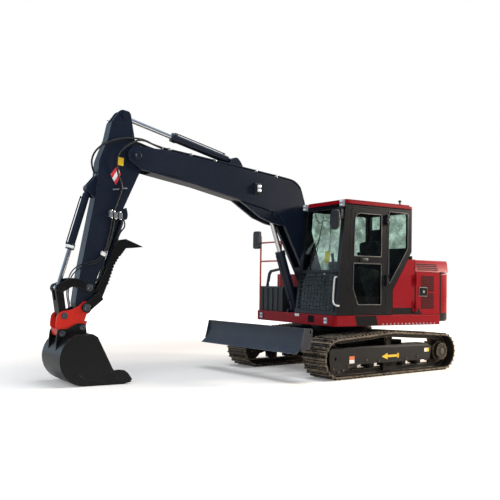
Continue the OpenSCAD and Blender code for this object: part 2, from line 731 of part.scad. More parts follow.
rail_x = 900;
rail_out = -right_y + 20;
rail_in = -tank_in - 110;
rail_top = 2060;
rungs = [1650, 1950];
module handrail() {
    color("#b5301f") slewed() {
        tube([rail_x, rail_out, skirt_top], [rail_x, rail_out, rail_top], rail_r);
        tube([rail_x, rail_in, box_top], [rail_x, rail_in, rungs[1] + rail_r], rail_r);
        for (z = rungs) tube([rail_x, rail_out, z], [rail_x, rail_in, z], rail_r - 1);
    }
}
// Extrudes a front view outline (y, z) from x0 to x1
module front_slab(x0, x1) translate([x0, 0, 0]) rotate([90, 0, 90]) linear_extrude(x1 - x0) children();
mirror_x = 930;
mirror_z = [1855, 2140];
cab_mirror_z = cab_top - 150;
module mirrors() {
    color("#16181c") slewed() {
        front_slab(mirror_x, mirror_x + 50) polygon(rounded([[-right_y - 100, mirror_z[0], 40],
            [-right_y + 70, mirror_z[0], 40],
            [-right_y + 70, mirror_z[1], 40], [-right_y - 100, mirror_z[1], 40]]));
        tube([rail_x + rail_r + seat_gap, rail_out, mirror_z[0] + 100], [mirror_x + 10, rail_out,
            mirror_z[0] + 100], 12);
        front_slab(front_x(cab_mirror_z - 90) + seat_gap, front_x(cab_mirror_z) + 60)
            polygon(rounded([[left_y - 130, cab_mirror_z - 90, 50],
            [left_y - 10, cab_mirror_z - 90, 50], [left_y - 10, cab_mirror_z + 90, 50], [left_y - 130,
                cab_mirror_z + 90, 50]]));
    }
}
lamp_w = 66;
lamp_h = 92;
module work_lamps() {
    color("#d8dce0") slewed() {
        for (y = [cab_right + 45, left_y - 45]) translate([cab_front_high + 32.5, y, cab_top]) cube([44,
            lamp_w, lamp_h], center = true);
        for (y = [-right_y + 190, left_y - 190]) translate([bumper_x + seat_gap + 7, y, (deck_z +
            skirt_top) / 2]) cube([14, lamp_w, lamp_h], center = true);
    }
}

// Cab: a hollow frame with cut windows, its glass, roof, guard and furniture
cab_mid = (cab_right + left_y) / 2;
slope_shift = tan(atan(slope_run) / 2);
front_run = (cab_front_low - cab_front_high) / (cab_top - cab_floor);
function front_x(z) = cab_front_low - (z - cab_floor) * front_run;
function cab_outline(d, lid) = [[-cab_back_low + d, cab_floor + d], [front_x(cab_floor + d) - d,
    cab_floor + d], [front_x(lid) - d, lid],
    [-cab_back + d, lid], [-cab_back + d, slope_top + slope_shift * d], [-cab_back_low + d, slope_low +
        slope_shift * d]];
door_back_x = 30;
door_front_top = [690, cab_top - 45];
door_front_mid = [740, 1180];
door_front_low = [630, cab_floor + 30];
function door_outline(d) = inset(rounded([[door_back_x, cab_floor + 30], door_front_low,
    concat(door_front_mid, 60), concat(door_front_top, 70),
    [door_back_x, cab_top - 45]]), -d);
sill = 1666;
function door_windows(d) = [
    inset(rounded([[115, sill + 40, 20], [640, sill + 40, 20], [625, cab_top - 120, 110], [115,
        cab_top - 120, 20]]), d),
    inset(rounded([[115, 1010, 20], [560, 1010, 20], [650, 1230, 40], [645, sill - 60, 20], [115,
        sill - 60, 20]]), d)];
function quarter_window(d) = inset(rounded([[-70, slope_low + 110], [-20, slope_low + 80, 20], [-20,
    cab_top - 60, 20], [-cab_back + 80, cab_top - 60, 40],
    [-cab_back + 80, slope_top + 40]]), d);
function right_window(d) = inset(rounded([[-60, 1450, 30], [740, 1450, 30], [680, cab_top - 60, 40],
    [-cab_back + 80, cab_top - 60, 40], [-cab_back + 80, slope_top + 60]]), d);
pillar = 75;
screen_z = [1500, cab_top - 60];
low_screen_z = [cab_floor + 70, 1450];
rear_z = [slope_top + 60, cab_top - 60];
glass_gap = 0.4;
module screen_cut(z) block([front_x(z[1]) - 2 * cab_wall, cab_right + pillar, z[0]], [front_x(z[0]) +
    cab_wall, left_y - pillar, z[1]]);
module screen_pane(z) slab(left_y - cab_right - 2 * pillar - 2 * glass_gap, cab_mid)
    polygon([for (e = [[0, 0], [1, 0], [1, 1], [0, 1]])
    let (zz = e.y == 0 ? z[0] + glass_gap : z[1] - glass_gap) [front_x(zz) - cab_wall / 2 +
        e.x * glass_t, zz]]);
cab_hinges = [1370, 2250];
module cab_frame() {
    color("#141518") slewed() {
        difference() {
            slab(left_y - cab_right, cab_mid) polygon(cab_outline(0, cab_top));
            slab(left_y - cab_right - 2 * cab_wall, cab_mid) polygon(cab_outline(cab_wall, cab_top + 1));
            slab(3 * cab_wall, left_y) polygon(door_outline(door_gap));
            slab(3 * cab_wall, left_y) polygon(quarter_window(0));
            slab(3 * cab_wall, cab_right) polygon(right_window(0));
            screen_cut(screen_z);
            screen_cut(low_screen_z);
            block([-cab_back - 1, cab_right + pillar, rear_z[0]], [-cab_back + 2 * cab_wall,
                left_y - pillar, rear_z[1]]);
        }
        for (z = cab_hinges) translate([door_back_x - door_gap / 2, left_y, z]) hinge_on_frame();
    }
}
module cab_glass() {
    color([0.5, 0.65, 0.62, 0.4]) slewed() {
        slab(glass_t, left_y - cab_wall / 2) polygon(quarter_window(glass_gap));
        slab(glass_t, cab_right + cab_wall / 2) polygon(right_window(glass_gap));
        screen_pane(screen_z);
        screen_pane(low_screen_z);
        block([-cab_back + cab_wall / 2, cab_right + pillar + glass_gap, rear_z[0] + glass_gap],
            [-cab_back + cab_wall / 2 + glass_t, left_y - pillar - glass_gap, rear_z[1] - glass_gap]);
    }
}
module cab_door() {
    color("#141518") slewed() {
        difference() {
            slab(cab_wall, left_y - cab_wall / 2) polygon(door_outline(0));
            for (w = door_windows(0)) slab(3 * cab_wall, left_y) polygon(w);
        }
        for (z = cab_hinges) translate([door_back_x - door_gap / 2, left_y, z]) hinge_on_leaf();
    }
}
module door_glass() {
    color([0.5, 0.65, 0.62, 0.4]) slewed() for (w = door_windows(glass_gap)) slab(glass_t,
        left_y - cab_wall / 2) polygon(w);
}
roof_over = 20;
roof_step = 24;
module roof_plan(d) polygon(rounded([[cab_front_high + 10 - d, cab_right - roof_over + d, 60 - d],
    [cab_front_high + 10 - d, left_y + roof_over - d, 60 - d],
    [-cab_back - roof_over + d, left_y + roof_over - d, 60 - d], [-cab_back - roof_over + d,
        cab_right - roof_over + d, 60 - d]]));
module cab_roof() {
    color("#a3142a") slewed() translate([0, 0, cab_top]) {
        linear_extrude(roof_t - roof_step) roof_plan(0);
        linear_extrude(roof_t) roof_plan(40);
    }
}
guard_t = 9;
guard_out = 8;
guard_n = [9, 11];
module front_guard() {
    z = low_screen_z;
    y0 = cab_right + pillar - 20;
    y1 = left_y - pillar + 20;
    color("#1a1b1e") slewed() {
        for (k = [0 : guard_n[0]]) {
            mid = z[0] - 20 + k * (z[1] - z[0] + 40) / guard_n[0];
            back = k == 0 || k == guard_n[0] ? 0 : guard_out;
            slab(y1 - y0, (y0 + y1) / 2) polygon([for (e = [[0, -1], [1, -1], [1, 1], [0, 1]])
                let (zz = mid + e.y * guard_t / 2) [front_x(zz) + (e.x == 0 ? back : guard_out +
                    guard_t), zz]]);
        }
        for (k = [0 : guard_n[1]]) slab(guard_t, y0 + k * (y1 - y0) / guard_n[1]) polygon([for (e = [[0,
            0], [1, 0], [1, 1], [0, 1]])
            let (zz = e.y == 0 ? z[0] - 20 : z[1] + 20) [front_x(zz) + guard_out + e.x * guard_t, zz]]);
    }
}
seat_x = 60;
seat_z = 1330;
seat_w = 480;
module seat() {
    color("#20242c") slewed() {
        slab(300, cab_mid) polygon([[seat_x - 40, cab_floor + cab_wall], [seat_x + 240, cab_floor +
            cab_wall],
            [seat_x + 220, seat_z + 40], [seat_x - 20, seat_z + 40]]);
        slab(seat_w, cab_mid) polygon(rounded([[seat_x - 140, seat_z, 40], [seat_x + 345, seat_z, 40],
            [seat_x + 345, seat_z + 115, 45],
            [seat_x - 60, seat_z + 95], [seat_x - 180, seat_z + 640, 35], [seat_x - 285, seat_z + 620,
                35]]));
        slab(260, cab_mid) polygon(rounded([[seat_x - 265, seat_z + 590], [seat_x - 205, seat_z + 600],
            [seat_x - 225, seat_z + 830, 25],
            [seat_x - 300, seat_z + 815, 25]]));
    }
}
console_w = 110;
module controls() {
    color("#2a2c30") slewed() for (side = [-1, 1]) {
        y = cab_mid + side * (240 + console_w / 2 + 10);
        slab(console_w, y) polygon(rounded([[seat_x - 60, cab_floor + cab_wall], [seat_x + 180,
            cab_floor + cab_wall], [seat_x + 360, seat_z + 130, 40], [seat_x + 350, seat_z + 230, 40],
            [seat_x - 80, seat_z + 170, 40]]));
        tube([seat_x + 300, y, seat_z + 180], [seat_x + 330, y, seat_z + 360], 22);
        slab(24, cab_mid + side * 70) polygon([[640, cab_floor + cab_wall], [700, cab_floor + cab_wall],
            [600, 1420], [570, 1420]]);
    }
}

// Boom: a bent box from its foot to a forked nose, with the brackets of three cylinders
boom_t = 14;
foot_clear = 190;
nose_r = 126;
slot_r = 300;
arm_lane = arm_w + 2 * side_gap;
arm_base = foot + [1505, 1838];
arm_eye = nose + [163, 512];
arm_eye_w = 90;
leg_from = [105, -60];
leg_dir = unit([655, 1210]);
leg_out = [leg_dir.y, -leg_dir.x];
function on_leg(s, out) = foot + leg_from + s * leg_dir + out * leg_out;
channel = [on_leg(440, 160), on_leg(1500, 160), on_leg(1500, -130), on_leg(860, -130), on_leg(700, -45),
    on_leg(460, -45)];
boom_line = [at(foot, -112, 30, 0), at(foot, -40, -108, 90), at(foot + leg_from, 0, 0, 60), at(foot, 760,
    1150, 350), foot + [2129, 1430],
    nose + [-52, -178], nose + [40, -110], nose + [40, 120], nose + [-387, 124], foot + [1550, 1754],
        at(foot, 413, 1625, 300)];
boom_bracket = rounded([foot + [1480, 1305], foot + [1480, 1340], foot + [600, 1120], foot + [640, 950],
    at(foot, 860, 985, 80), at(foot, 1085, 1060, 40)]);
module boom() {
    color("#14171d") slewed() {
        difference() {
            union() {
                box_section(rounded(boom_line), boom_w, boom_t, boom_y);
                bar(foot, 110, boom_w, boom_y);
                slab(foot_w, boom_y) intersection() {
                    polygon(rounded(boom_line));
                    translate(foot) circle(r = foot_clear + boom_t);
                }
                pair(bracket_t, boom_eye_w + 2 * side_gap, boom_y) polygon(boom_bracket);
            }
            pair(boom_w, foot_w, boom_y) translate(foot) circle(r = foot_clear);
            bar(foot, pin_r + pin_fit, 2 * boom_w, boom_y);
            bar(nose, slot_r, arm_lane, boom_y);
            slab(boom_eye_w + 2 * side_gap, boom_y) {
                translate(boom_eye) circle(r = 190);
                polygon(channel);
            }
        }
        pair(fork_t, arm_lane, boom_y) union() {
            translate(nose) circle(r = nose_r);
            polygon([nose + [-640, -222], nose + [-52, -178], nose + [60, -105], nose + [0, nose_r],
                nose + [-640, 90]]);
        }
        bar(nose, pin_r, arm_lane + 2 * fork_t, boom_y);
        pair(bracket_t, arm_eye_w + 2 * side_gap, boom_y) polygon(rounded([arm_base + [-150, -100],
            arm_base + [130, -85], at(arm_base, 55, 30, 50), at(arm_base, -20, 70, 50),
            at(arm_base, -80, 10, 50)]));
        bar(arm_base, pin_r, arm_eye_w + 2 * side_gap + 2 * bracket_t, boom_y);
        for (side = [-1, 1]) bar(boom_eye, pin_r + 8, 16, boom_y + side * (boom_eye_w / 2 + side_gap +
            bracket_t + 8));
    }
}
module boom_barrel() slewed() barrel(boom_base, boom_eye, neck_l, boom_cyl[0], boom_cyl[1], boom_cyl[2],
    pin_r, boom_eye_w, boom_y);
module boom_rod() slewed() rod(boom_base, boom_eye, boom_cyl[3], boom_cyl[2], 62, boom_eye_w, boom_y);
module arm_barrel() slewed() barrel(arm_base, arm_eye, neck_l, arm_cyl[0], arm_cyl[1], arm_cyl[2], pin_r,
    arm_eye_w, boom_y);
module arm_rod() slewed() rod(arm_base, arm_eye, arm_cyl[3], arm_cyl[2], 56, arm_eye_w, boom_y);

// Arm: a tapered box; its pins carry the bucket, the rocker links and the thumb's cylinder
arm_t = 12;
rocker_pin = tip + [-40, 250];
common = tip + [325, 240];
link_pin = tip + [270, -100];
bucket_base = nose + [600, -472];
bucket_eye_w = 80;
thumb_base = tip + [-502, 1190];
thumb_eye = tip + [-195, 175];
thumb_eye_w = 70;
ear_t = 25;
rocker_t = 22;
arm_line = [at(tip, -78, -85, 70), at(tip, 100, -82, 80), tip + [128, 60], tip + [76, 444], nose + [535,
    -560], at(nose, 500, -110, 150),
    nose + [390, 190], at(nose, 345, 410, 60), at(nose, 225, 588, 60), at(nose, 92, 572, 60), nose + [66,
        430], nose + [20, 200], at(nose, -112, 90, 80),
    at(nose, -95, -130, 100), nose + [162, -716], tip + [-143, 367], tip + [-88, 122]];
module arm() {
    color("#14171d") slewed() {
        difference() {
            union() {
                box_section(rounded(arm_line), arm_w, arm_t, boom_y);
                bar(nose, 105, arm_w, boom_y);
                slab(arm_w, boom_y) polygon(rounded([at(tip, -78, -85, 70), at(tip, 100, -82, 80), tip +
                    [128, 60], tip + [76, 444],
                    tip + [-143, 367], tip + [-88, 122]]));
                pair((arm_w - arm_eye_w) / 2 - side_gap, arm_eye_w + 2 * side_gap, boom_y)
                    polygon(rounded([nose + [20, 200], nose + [390, 190],
                    at(nose, 345, 410, 60), at(nose, 225, 588, 60), at(nose, 92, 572, 60), nose + [66,
                        430]]));
            }
            bar(nose, pin_r + pin_fit, 2 * arm_w, boom_y);
            slab(arm_eye_w + 2 * side_gap, boom_y) translate(arm_eye) circle(r = 205);
        }
        bar(tip, pin_r, ear_gap + 2 * ear_t, boom_y);
        bar(rocker_pin, small_pin_r, arm_w + 2 * side_gap + 2 * rocker_t, boom_y);
        pair(ear_t, bucket_eye_w + 2 * side_gap, boom_y) polygon(rounded([nose + [520, -300], nose +
            [535, -600], at(bucket_base, 20, -60, 40), at(bucket_base, 60, 10, 50),
            at(bucket_base, 10, 60, 40)]));
        bar(bucket_base, small_pin_r, bucket_eye_w + 2 * side_gap + 2 * ear_t, boom_y);
        pair(ear_t, thumb_eye_w + 2 * side_gap, boom_y) polygon(rounded([thumb_base + [40, -60],
            at(thumb_base, -45, -45, 40), at(thumb_base, -50, 30, 40), thumb_base + [-30, 110],
            thumb_base + [110, 60], thumb_base + [110, -60]]));
        bar(thumb_base, small_pin_r, thumb_eye_w + 2 * side_gap + 2 * ear_t, boom_y);
        for (side = [-1, 1]) bar(arm_eye, pin_r + 8, 14, boom_y + side * (arm_w / 2 + 7));
    }
}
module bucket_barrel() slewed() barrel(bucket_base, common, small_neck_l, bucket_cyl[0], bucket_cyl[1],
    bucket_cyl[2], small_pin_r, bucket_eye_w, boom_y);
module bucket_rod() slewed() rod(bucket_base, common, bucket_cyl[3], bucket_cyl[2], 46, bucket_eye_w,
    boom_y);
module thumb_barrel() slewed() barrel(thumb_base, thumb_eye, small_neck_l, thumb_cyl[0], thumb_cyl[1],
    thumb_cyl[2], small_pin_r, thumb_eye_w, boom_y);
module thumb_rod() slewed() rod(thumb_base, thumb_eye, thumb_cyl[3], thumb_cyl[2], 40, thumb_eye_w, boom_y);

// Bucket linkage: curved rocker links outside the arm, and a push link down to the hitch
rocker_half = 44;
module rocker_links() {
    color("#101216") slewed() {
        difference() {
            pair(rocker_t, arm_w + 2 * side_gap, boom_y) union() {
                translate(rocker_pin) circle(r = 58);
                translate(common) circle(r = 58);
                polygon(rounded([rocker_pin + [-52, 10], rocker_pin + [30, -48], concat((rocker_pin +
                    common) / 2 + [0, 40], 150), common + [-40, -45], common + [45, 30],
                    concat((rocker_pin + common) / 2 + [30, 150], 180)]));
            }
            bar(rocker_pin, small_pin_r + pin_fit, 2 * arm_w, boom_y);
        }
        for (side = [-1, 1]) bar(common, 40, 16, boom_y + side * (arm_w / 2 + side_gap + rocker_t + 8));
    }
}
module push_link() {
    color("#101216") slewed() difference() {
        slab(arm_w - 4, boom_y) union() {
            translate(common) circle(r = 52);
            translate(link_pin) circle(r = 50);
            polygon([common + [-44, -10], link_pin + [-38, 20], link_pin + [50, 0], common + [52, -10]]);
        }
        bar(link_pin, small_pin_r + pin_fit, 2 * arm_w, boom_y);
        slab(bucket_eye_w + 2 * side_gap, boom_y) translate(common) circle(r = 150);
    }
}

// Quick hitch: two cheeks on the tip pin and the link pin, over a body that grips the bucket's pins
cheek_gap = arm_w + 2 * side_gap;
hitch_w = cheek_gap + 2 * cheek_t;
ear_gap = hitch_w + 2 * side_gap;
bucket_pins = [tip + [300, -320], tip + [50, -250]];
hitch_boss_r = 76;
link_boss_r = 60;
cheek_line = [[52, 52], [108, 8], [170, -23], [232, -38], [294, -45], [342, -77], [362, -113], [370,
    -199], [368, -241], [343, -260], [300, -270],
    [213, -265], [138, -248], [76, -210], [26, -179], [11, -155], [-12, -80], [-62, -40]];
module quick_hitch() {
    color("#d5301f") slewed() {
        difference() {
            union() {
                pair(cheek_t, cheek_gap, boom_y) union() {
                    translate(tip) circle(r = hitch_boss_r);
                    translate(link_pin) circle(r = link_boss_r);
                    polygon([for (p = cheek_line) tip + p]);
                }
                slab(hitch_w, boom_y) polygon(rounded([tip + [-20, -170], tip + [0, -250], at(tip, 30,
                    -298, 30), tip + [190, -290],
                    at(tip, 262, -352, 20), at(tip, 332, -362, 36), tip + [358, -260], tip + [250, -215],
                        tip + [120, -190]]));
            }
            for (p = bucket_pins) bar(p, small_pin_r + seat_gap, 2 * ear_gap, boom_y);
            bar(tip, pin_r + pin_fit, 2 * ear_gap, boom_y);
        }
        bar(link_pin, small_pin_r, hitch_w, boom_y);
    }
}

// Bucket: a round back, side plates, ears with their pins, lip and teeth
bucket_drop = 622;
back_c = tip + [65, -bucket_drop];
floor_z = back_c.y - bucket_r;
lip_x = tip.x - 430;
back_end = 65;
side_t = 18;
mouth = [[tip.x - 77, tip.y - 352], [tip.x - 281, tip.y - 753]];
roof_end = tip + [-20, -318];
bucket_side = concat([[lip_x, floor_z], [back_c.x, floor_z]], arc(back_c, bucket_r, -90, back_end, 20),
    [roof_end, mouth[0], mouth[1], [lip_x, floor_z + 40]]);
bucket_inside = concat([[lip_x - 200, floor_z + shell_t], [back_c.x, floor_z + shell_t]], arc(back_c,
    bucket_r - shell_t, -90, back_end, 20),
    [roof_end - [0, shell_t], [lip_x - 200, roof_end.y - shell_t]]);
tooth_l = 130;
cutter_proud = 8;
cutter_line = [[31, -27], [-66, -12], [-145, -20], [-199, -60], [-255, -139], [-242, -150], [-182, -153],
    [-99, -167]];
module bucket() {
    color("#17181a") slewed() {
        difference() {
            slab(bucket_w, boom_y) polygon(bucket_side);
            slab(bucket_w - 2 * side_t, boom_y) polygon(bucket_inside);
        }
        for (k = [0 : tooth_count - 1]) slab(tooth_w, boom_y + (k / (tooth_count - 1) - 0.5)
            * (bucket_w - tooth_w))
            polygon([[lip_x + 60, floor_z], [lip_x + 10, floor_z], [lip_x - tooth_l + 30, floor_z + 24],
                [lip_x - tooth_l + 30, floor_z + 36], [lip_x, floor_z + 62], [lip_x + 70, floor_z + 62]]);
        pair(side_t + cutter_proud, bucket_w - 2 * side_t, boom_y) polygon([for (p = cutter_line)
            mouth[1] + p]);
        pair(ear_t, ear_gap, boom_y)
            polygon(rounded(concat([at(tip, 110, -195, 45), at(tip, 10, -195, 45), roof_end + [10, -10]],
                arc(back_c, bucket_r - shell_t / 2, back_end, 5, 6),
                [at(tip, 372, -392, 40), at(tip, 358, -262, 45), at(tip, 242, -262, 45)])));
        for (p = bucket_pins) bar(p, small_pin_r, ear_gap + 2 * ear_t, boom_y);
    }
}

// Thumb: two serrated plates beside its cylinder, on ears that turn on the tip pin
thumb_t = 20;
thumb_lane = thumb_eye_w + 2 * side_gap + 30;
thumb_ear_t = 22;
serration = 14;
function serrated(a, b, n) = [for (k = [0 : 2 * n - 1]) a + (b - a) * k / (2 * n) + (k % 2)
    * serration * [-(b - a).y, (b - a).x] / norm(b - a)];
thumb_line = concat([tip + [-110, 130], tip + [-225, 110]], serrated(tip + [-290, 286], tip + [-373,
    545], 6), serrated(tip + [-373, 545], tip + [-458, 690], 4),
    [tip + [-535, 770], tip + [-700, 785], tip + [-776, 795], tip + [-690, 830], tip + [-530, 890], tip +
        [-398, 863], tip + [-300, 560], tip + [-205, 330], tip + [-130, 205]]);
module thumb() {
    color("#14171b") slewed() difference() {
        union() {
            pair(thumb_t, thumb_lane, boom_y) polygon(thumb_line);
            slab(thumb_lane + 2, boom_y) polygon([tip + [-535, 770], tip + [-776, 795], tip + [-690,
                830], tip + [-530, 890], tip + [-470, 870], tip + [-495, 750]]);
            pair(thumb_ear_t, ear_gap, boom_y) union() {
                translate(tip) circle(r = 62);
                polygon([tip + [10, 62], tip + [-30, -54], tip + [-215, 105], tip + [-150, 190]]);
            }
            pair((ear_gap - thumb_lane) / 2 + 1, thumb_lane - 1, boom_y) polygon([tip + [-215, 112],
                tip + [-150, 90], tip + [-125, 150], tip + [-185, 185]]);
        }
        bar(tip, pin_r + pin_fit, 3 * arm_w, boom_y);
    }
}

car_body();
swing_bearing();
left_track_frame();
right_track_frame();
left_track();
right_track();
drive_sprockets();
idlers();
rollers();
blade();
blade_barrel();
blade_rod();
upper_frame();
skirt_rails();
counterweight();
engine_block();
firewall();
left_panel();
service_door_left();
service_door_right();
hood();
tank_housing();
valve_cover();
toolbox();
handrail();
mirrors();
work_lamps();
cab_frame();
cab_roof();
cab_glass();
front_guard();
seat();
controls();
cab_door();
door_glass();
boom();
boom_barrel();
boom_rod();
arm_barrel();
arm_rod();
arm();
bucket_barrel();
bucket_rod();
rocker_links();
push_link();
quick_hitch();
bucket();
thumb();
thumb_barrel();
thumb_rod();
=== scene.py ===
# %% [markdown]
# # A crawler excavator dressed around its solid model
# The solid model gives the form, the joints and the sizes. This lesson adds what the
# solid model leaves plain: paint, glass, hoses, bolts, labels, cushions, light and camera.
# Everything is in metres, in the frame of the solid model: X forward, Y to the cab side, Z up.

import json

import bpy
import numpy as np
from mathutils import Matrix


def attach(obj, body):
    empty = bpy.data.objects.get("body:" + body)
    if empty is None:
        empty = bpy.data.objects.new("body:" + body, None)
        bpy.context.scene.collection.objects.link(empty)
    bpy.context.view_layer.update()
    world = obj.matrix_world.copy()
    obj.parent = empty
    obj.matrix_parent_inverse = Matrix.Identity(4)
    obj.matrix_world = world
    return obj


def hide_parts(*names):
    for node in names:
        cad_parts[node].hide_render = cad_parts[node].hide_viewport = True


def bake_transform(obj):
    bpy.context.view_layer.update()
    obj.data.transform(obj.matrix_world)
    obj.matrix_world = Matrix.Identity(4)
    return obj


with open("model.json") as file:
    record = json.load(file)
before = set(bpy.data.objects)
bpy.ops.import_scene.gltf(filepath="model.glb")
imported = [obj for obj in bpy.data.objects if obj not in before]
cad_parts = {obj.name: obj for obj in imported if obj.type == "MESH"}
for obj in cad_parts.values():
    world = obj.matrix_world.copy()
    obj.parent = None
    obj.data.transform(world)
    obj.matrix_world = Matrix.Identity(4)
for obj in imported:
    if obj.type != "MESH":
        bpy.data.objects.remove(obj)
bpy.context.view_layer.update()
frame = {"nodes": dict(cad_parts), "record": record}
nodes = frame["nodes"]
scene = bpy.context.scene

# %% [markdown]
# ## Shader nodes in short words
# A material is a small machine of nodes. Each could be wired by hand in the editor. A few
# helpers make the same wiring readable here: they add a node, feed it and hand on its output.

# %% Node helpers


def feed(socket, value):
    """Link the socket to an output, or set it to a constant."""
    if isinstance(value, bpy.types.NodeSocket):
        socket.id_data.links.new(value, socket)
    else:
        socket.default_value = value


def make(tree, kind, *values, **settings):
    """A new shader node with its settings; the values feed its first inputs."""
    node = tree.nodes.new("ShaderNode" + kind)
    for label, value in settings.items():
        setattr(node, label, value)
    for socket, value in zip(node.inputs, values):
        feed(socket, value)
    return node


def tree_of(*values):
    """The node tree of the first socket among the values."""
    return next(v.id_data for v in values if isinstance(v, bpy.types.NodeSocket))


def math_node(operation, *values, clamp=False):
    """A math node fed with sockets or constants."""
    return make(tree_of(*values), "Math", *values, operation=operation, use_clamp=clamp).outputs[0]


def times(a, b, clamp=False):
    """The product of a and b."""
    return math_node("MULTIPLY", a, b, clamp=clamp)


def plus(a, b, clamp=False):
    """The sum of a and b."""
    return math_node("ADD", a, b, clamp=clamp)


def mix_colour(factor, a, b):
    """Colour a where factor is 0, colour b where it is 1."""
    node = make(tree_of(factor), "Mix", factor, data_type="RGBA")
    feed(node.inputs[6], a)
    feed(node.inputs[7], b)
    return node.outputs[2]


def mix_shader(factor, a, b):
    """Shader a where factor is 0, shader b where it is 1."""
    return make(tree_of(factor), "MixShader", factor, a, b).outputs[0]


def coords(tree, source="Object"):
    """Texture coordinates."""
    return make(tree, "TexCoord").outputs[source]


def normal(tree):
    """The face's direction."""
    return make(tree, "NewGeometry").outputs["Normal"]


def upward(vector):
    """The Z part of a vector."""
    return make(tree_of(vector), "SeparateXYZ", vector).outputs["Z"]


def dot(a, b):
    """The dot product of two vectors: how far a reaches along b."""
    return make(tree_of(a), "VectorMath", a, b, operation="DOT_PRODUCT").outputs["Value"]


def ramp(value, low, high):
    """0 below low, 1 above high, smooth between."""
    node = make(tree_of(value), "MapRange", value, low, high)
    node.interpolation_type = "SMOOTHSTEP"
    return node.outputs[0]


def noise(tree, scale, detail=4.0, roughness=0.55, source="Object"):
    """Noise over texture coordinates, from 0 to 1."""
    node = make(tree, "TexNoise", coords(tree, source))
    for label, value in (("Scale", scale), ("Detail", detail), ("Roughness", roughness)):
        feed(node.inputs[label], value)
    return node.outputs["Fac"]


print("node helpers ready")

# %% [markdown]
# ## Dust, grain, rubbed edges and edge highlights
# On the real machine dust lies on faces that look up and low down, paint varies a little, and
# edges are rubbed bare. On some paints the pale edge colour also serves as a painted highlight.
# Each material could carry its own copy of these. They are node groups with named sockets
# instead, so that one change reaches every paint.

# %% Shared node groups
GREY = (0.1, 0.1, 0.1, 1)


def group(name, inputs, outputs):
    """An empty shader node group with named sockets; inputs are (type, name, default)."""
    tree = bpy.data.node_groups.new(name, "ShaderNodeTree")
    for kind, label, value in inputs:
        socket = tree.interface.new_socket(label, in_out="INPUT", socket_type="NodeSocket" + kind)
        socket.default_value = value
    for kind, label in outputs:
        tree.interface.new_socket(label, in_out="OUTPUT", socket_type="NodeSocket" + kind)
    return tree, tree.nodes.new("NodeGroupInput").outputs, tree.nodes.new("NodeGroupOutput").inputs


def make_dust():
    """Dust cover: (lowness + half the upward tilt) * cloudy noise * amount."""
    tree, enter, leave = group(
        "dust_cover",
        [("Color", "Base", GREY), ("Color", "Dust", (0.32, 0.27, 0.21, 1)),
         ("Float", "Amount", 0.3), ("Float", "Reach", 0.8)],
        [("Color", "Color"), ("Float", "Cover")])
    depth = math_node("DIVIDE", upward(coords(tree)), enter["Reach"])
    low = math_node("SUBTRACT", 1.0, depth, clamp=True)
    tilt = times(ramp(upward(normal(tree)), 0.3, 1.0), 0.5)
    cloud = ramp(noise(tree, 6.0, 6.0, 0.65), 0.38, 0.72)
    cover = times(plus(low, tilt, clamp=True), cloud)
    cover = times(cover, enter["Amount"], clamp=True)
    feed(leave["Color"], mix_colour(cover, enter["Base"], enter["Dust"]))
    feed(leave["Cover"], cover)
    return tree


def make_grain():
    """A colour whose brightness varies: 1 + 4 * strength * (mean of two noises - 0.5)."""
    tree, enter, leave = group(
        "paint_grain",
        [("Color", "Base", GREY), ("Float", "Strength", 0.15), ("Float", "Scale", 40.0)],
        [("Color", "Color"), ("Float", "Value")])
    fine = noise(tree, enter["Scale"], 5.0, 0.6)
    slow = noise(tree, 1.7, 2.0, 0.5)
    both = plus(times(fine, 0.5), times(slow, 0.5))
    swing = times(math_node("SUBTRACT", both, 0.5), times(enter["Strength"], 4.0))
    hsv = make(tree, "HueSaturation")
    feed(hsv.inputs["Color"], enter["Base"])
    feed(hsv.inputs["Value"], plus(1.0, swing))
    feed(leave["Color"], hsv.outputs[0])
    feed(leave["Value"], both)
    return tree


def make_wear_and_glint():
    """Rubbed bare, and on some paints a painted highlight, where an edge mask and noise agree."""
    tree, enter, leave = group(
        "edge_wear_and_glint",
        [("Color", "Base", GREY), ("Color", "Metal", (0.35, 0.33, 0.3, 1)),
         ("Float", "Edge", 0.0), ("Float", "Amount", 0.5)],
        [("Color", "Color"), ("Float", "Bare")])
    patchy = ramp(noise(tree, 14.0, 6.0, 0.7), 0.35, 0.65)
    bare = times(times(enter["Edge"], patchy), enter["Amount"], clamp=True)
    feed(leave["Color"], mix_colour(bare, enter["Base"], enter["Metal"]))
    feed(leave["Bare"], bare)
    return tree


DUST, GRAIN, WEAR_AND_GLINT = make_dust(), make_grain(), make_wear_and_glint()
print("node groups:", DUST.name, GRAIN.name, WEAR_AND_GLINT.name)

# %% [markdown]
# ## Paints, metals and rubber
# The machine wears sprayed paint, bare and plated steel, rubber and cloth. All could be
# photographed as textures. Worked out from coordinates they stay sharp at any distance, so one
# function makes them all: colour, grain, rubbed edges that on some paints also carry a painted
# highlight, dust, and a fine bump.

# %% One function for every paint


def use_group(tree, source, **values):
    """A group node with its named sockets set or linked."""
    node = make(tree, "Group", node_tree=source)
    for label, value in values.items():
        feed(node.inputs[label], value)
    return node


def edge_mask(tree, radius):
    """1 near sharp edges: where the rounded normal leaves the true one."""
    rounded = make(tree, "Bevel", radius, samples=4).outputs[0]
    agree = ramp(dot(rounded, normal(tree)), 0.8, 0.995)
    return math_node("SUBTRACT", 1.0, agree)


def new_material(name):
    """An empty material and its node tree."""
    material = bpy.data.materials.new(name)
    material.use_nodes = True
    return material, material.node_tree


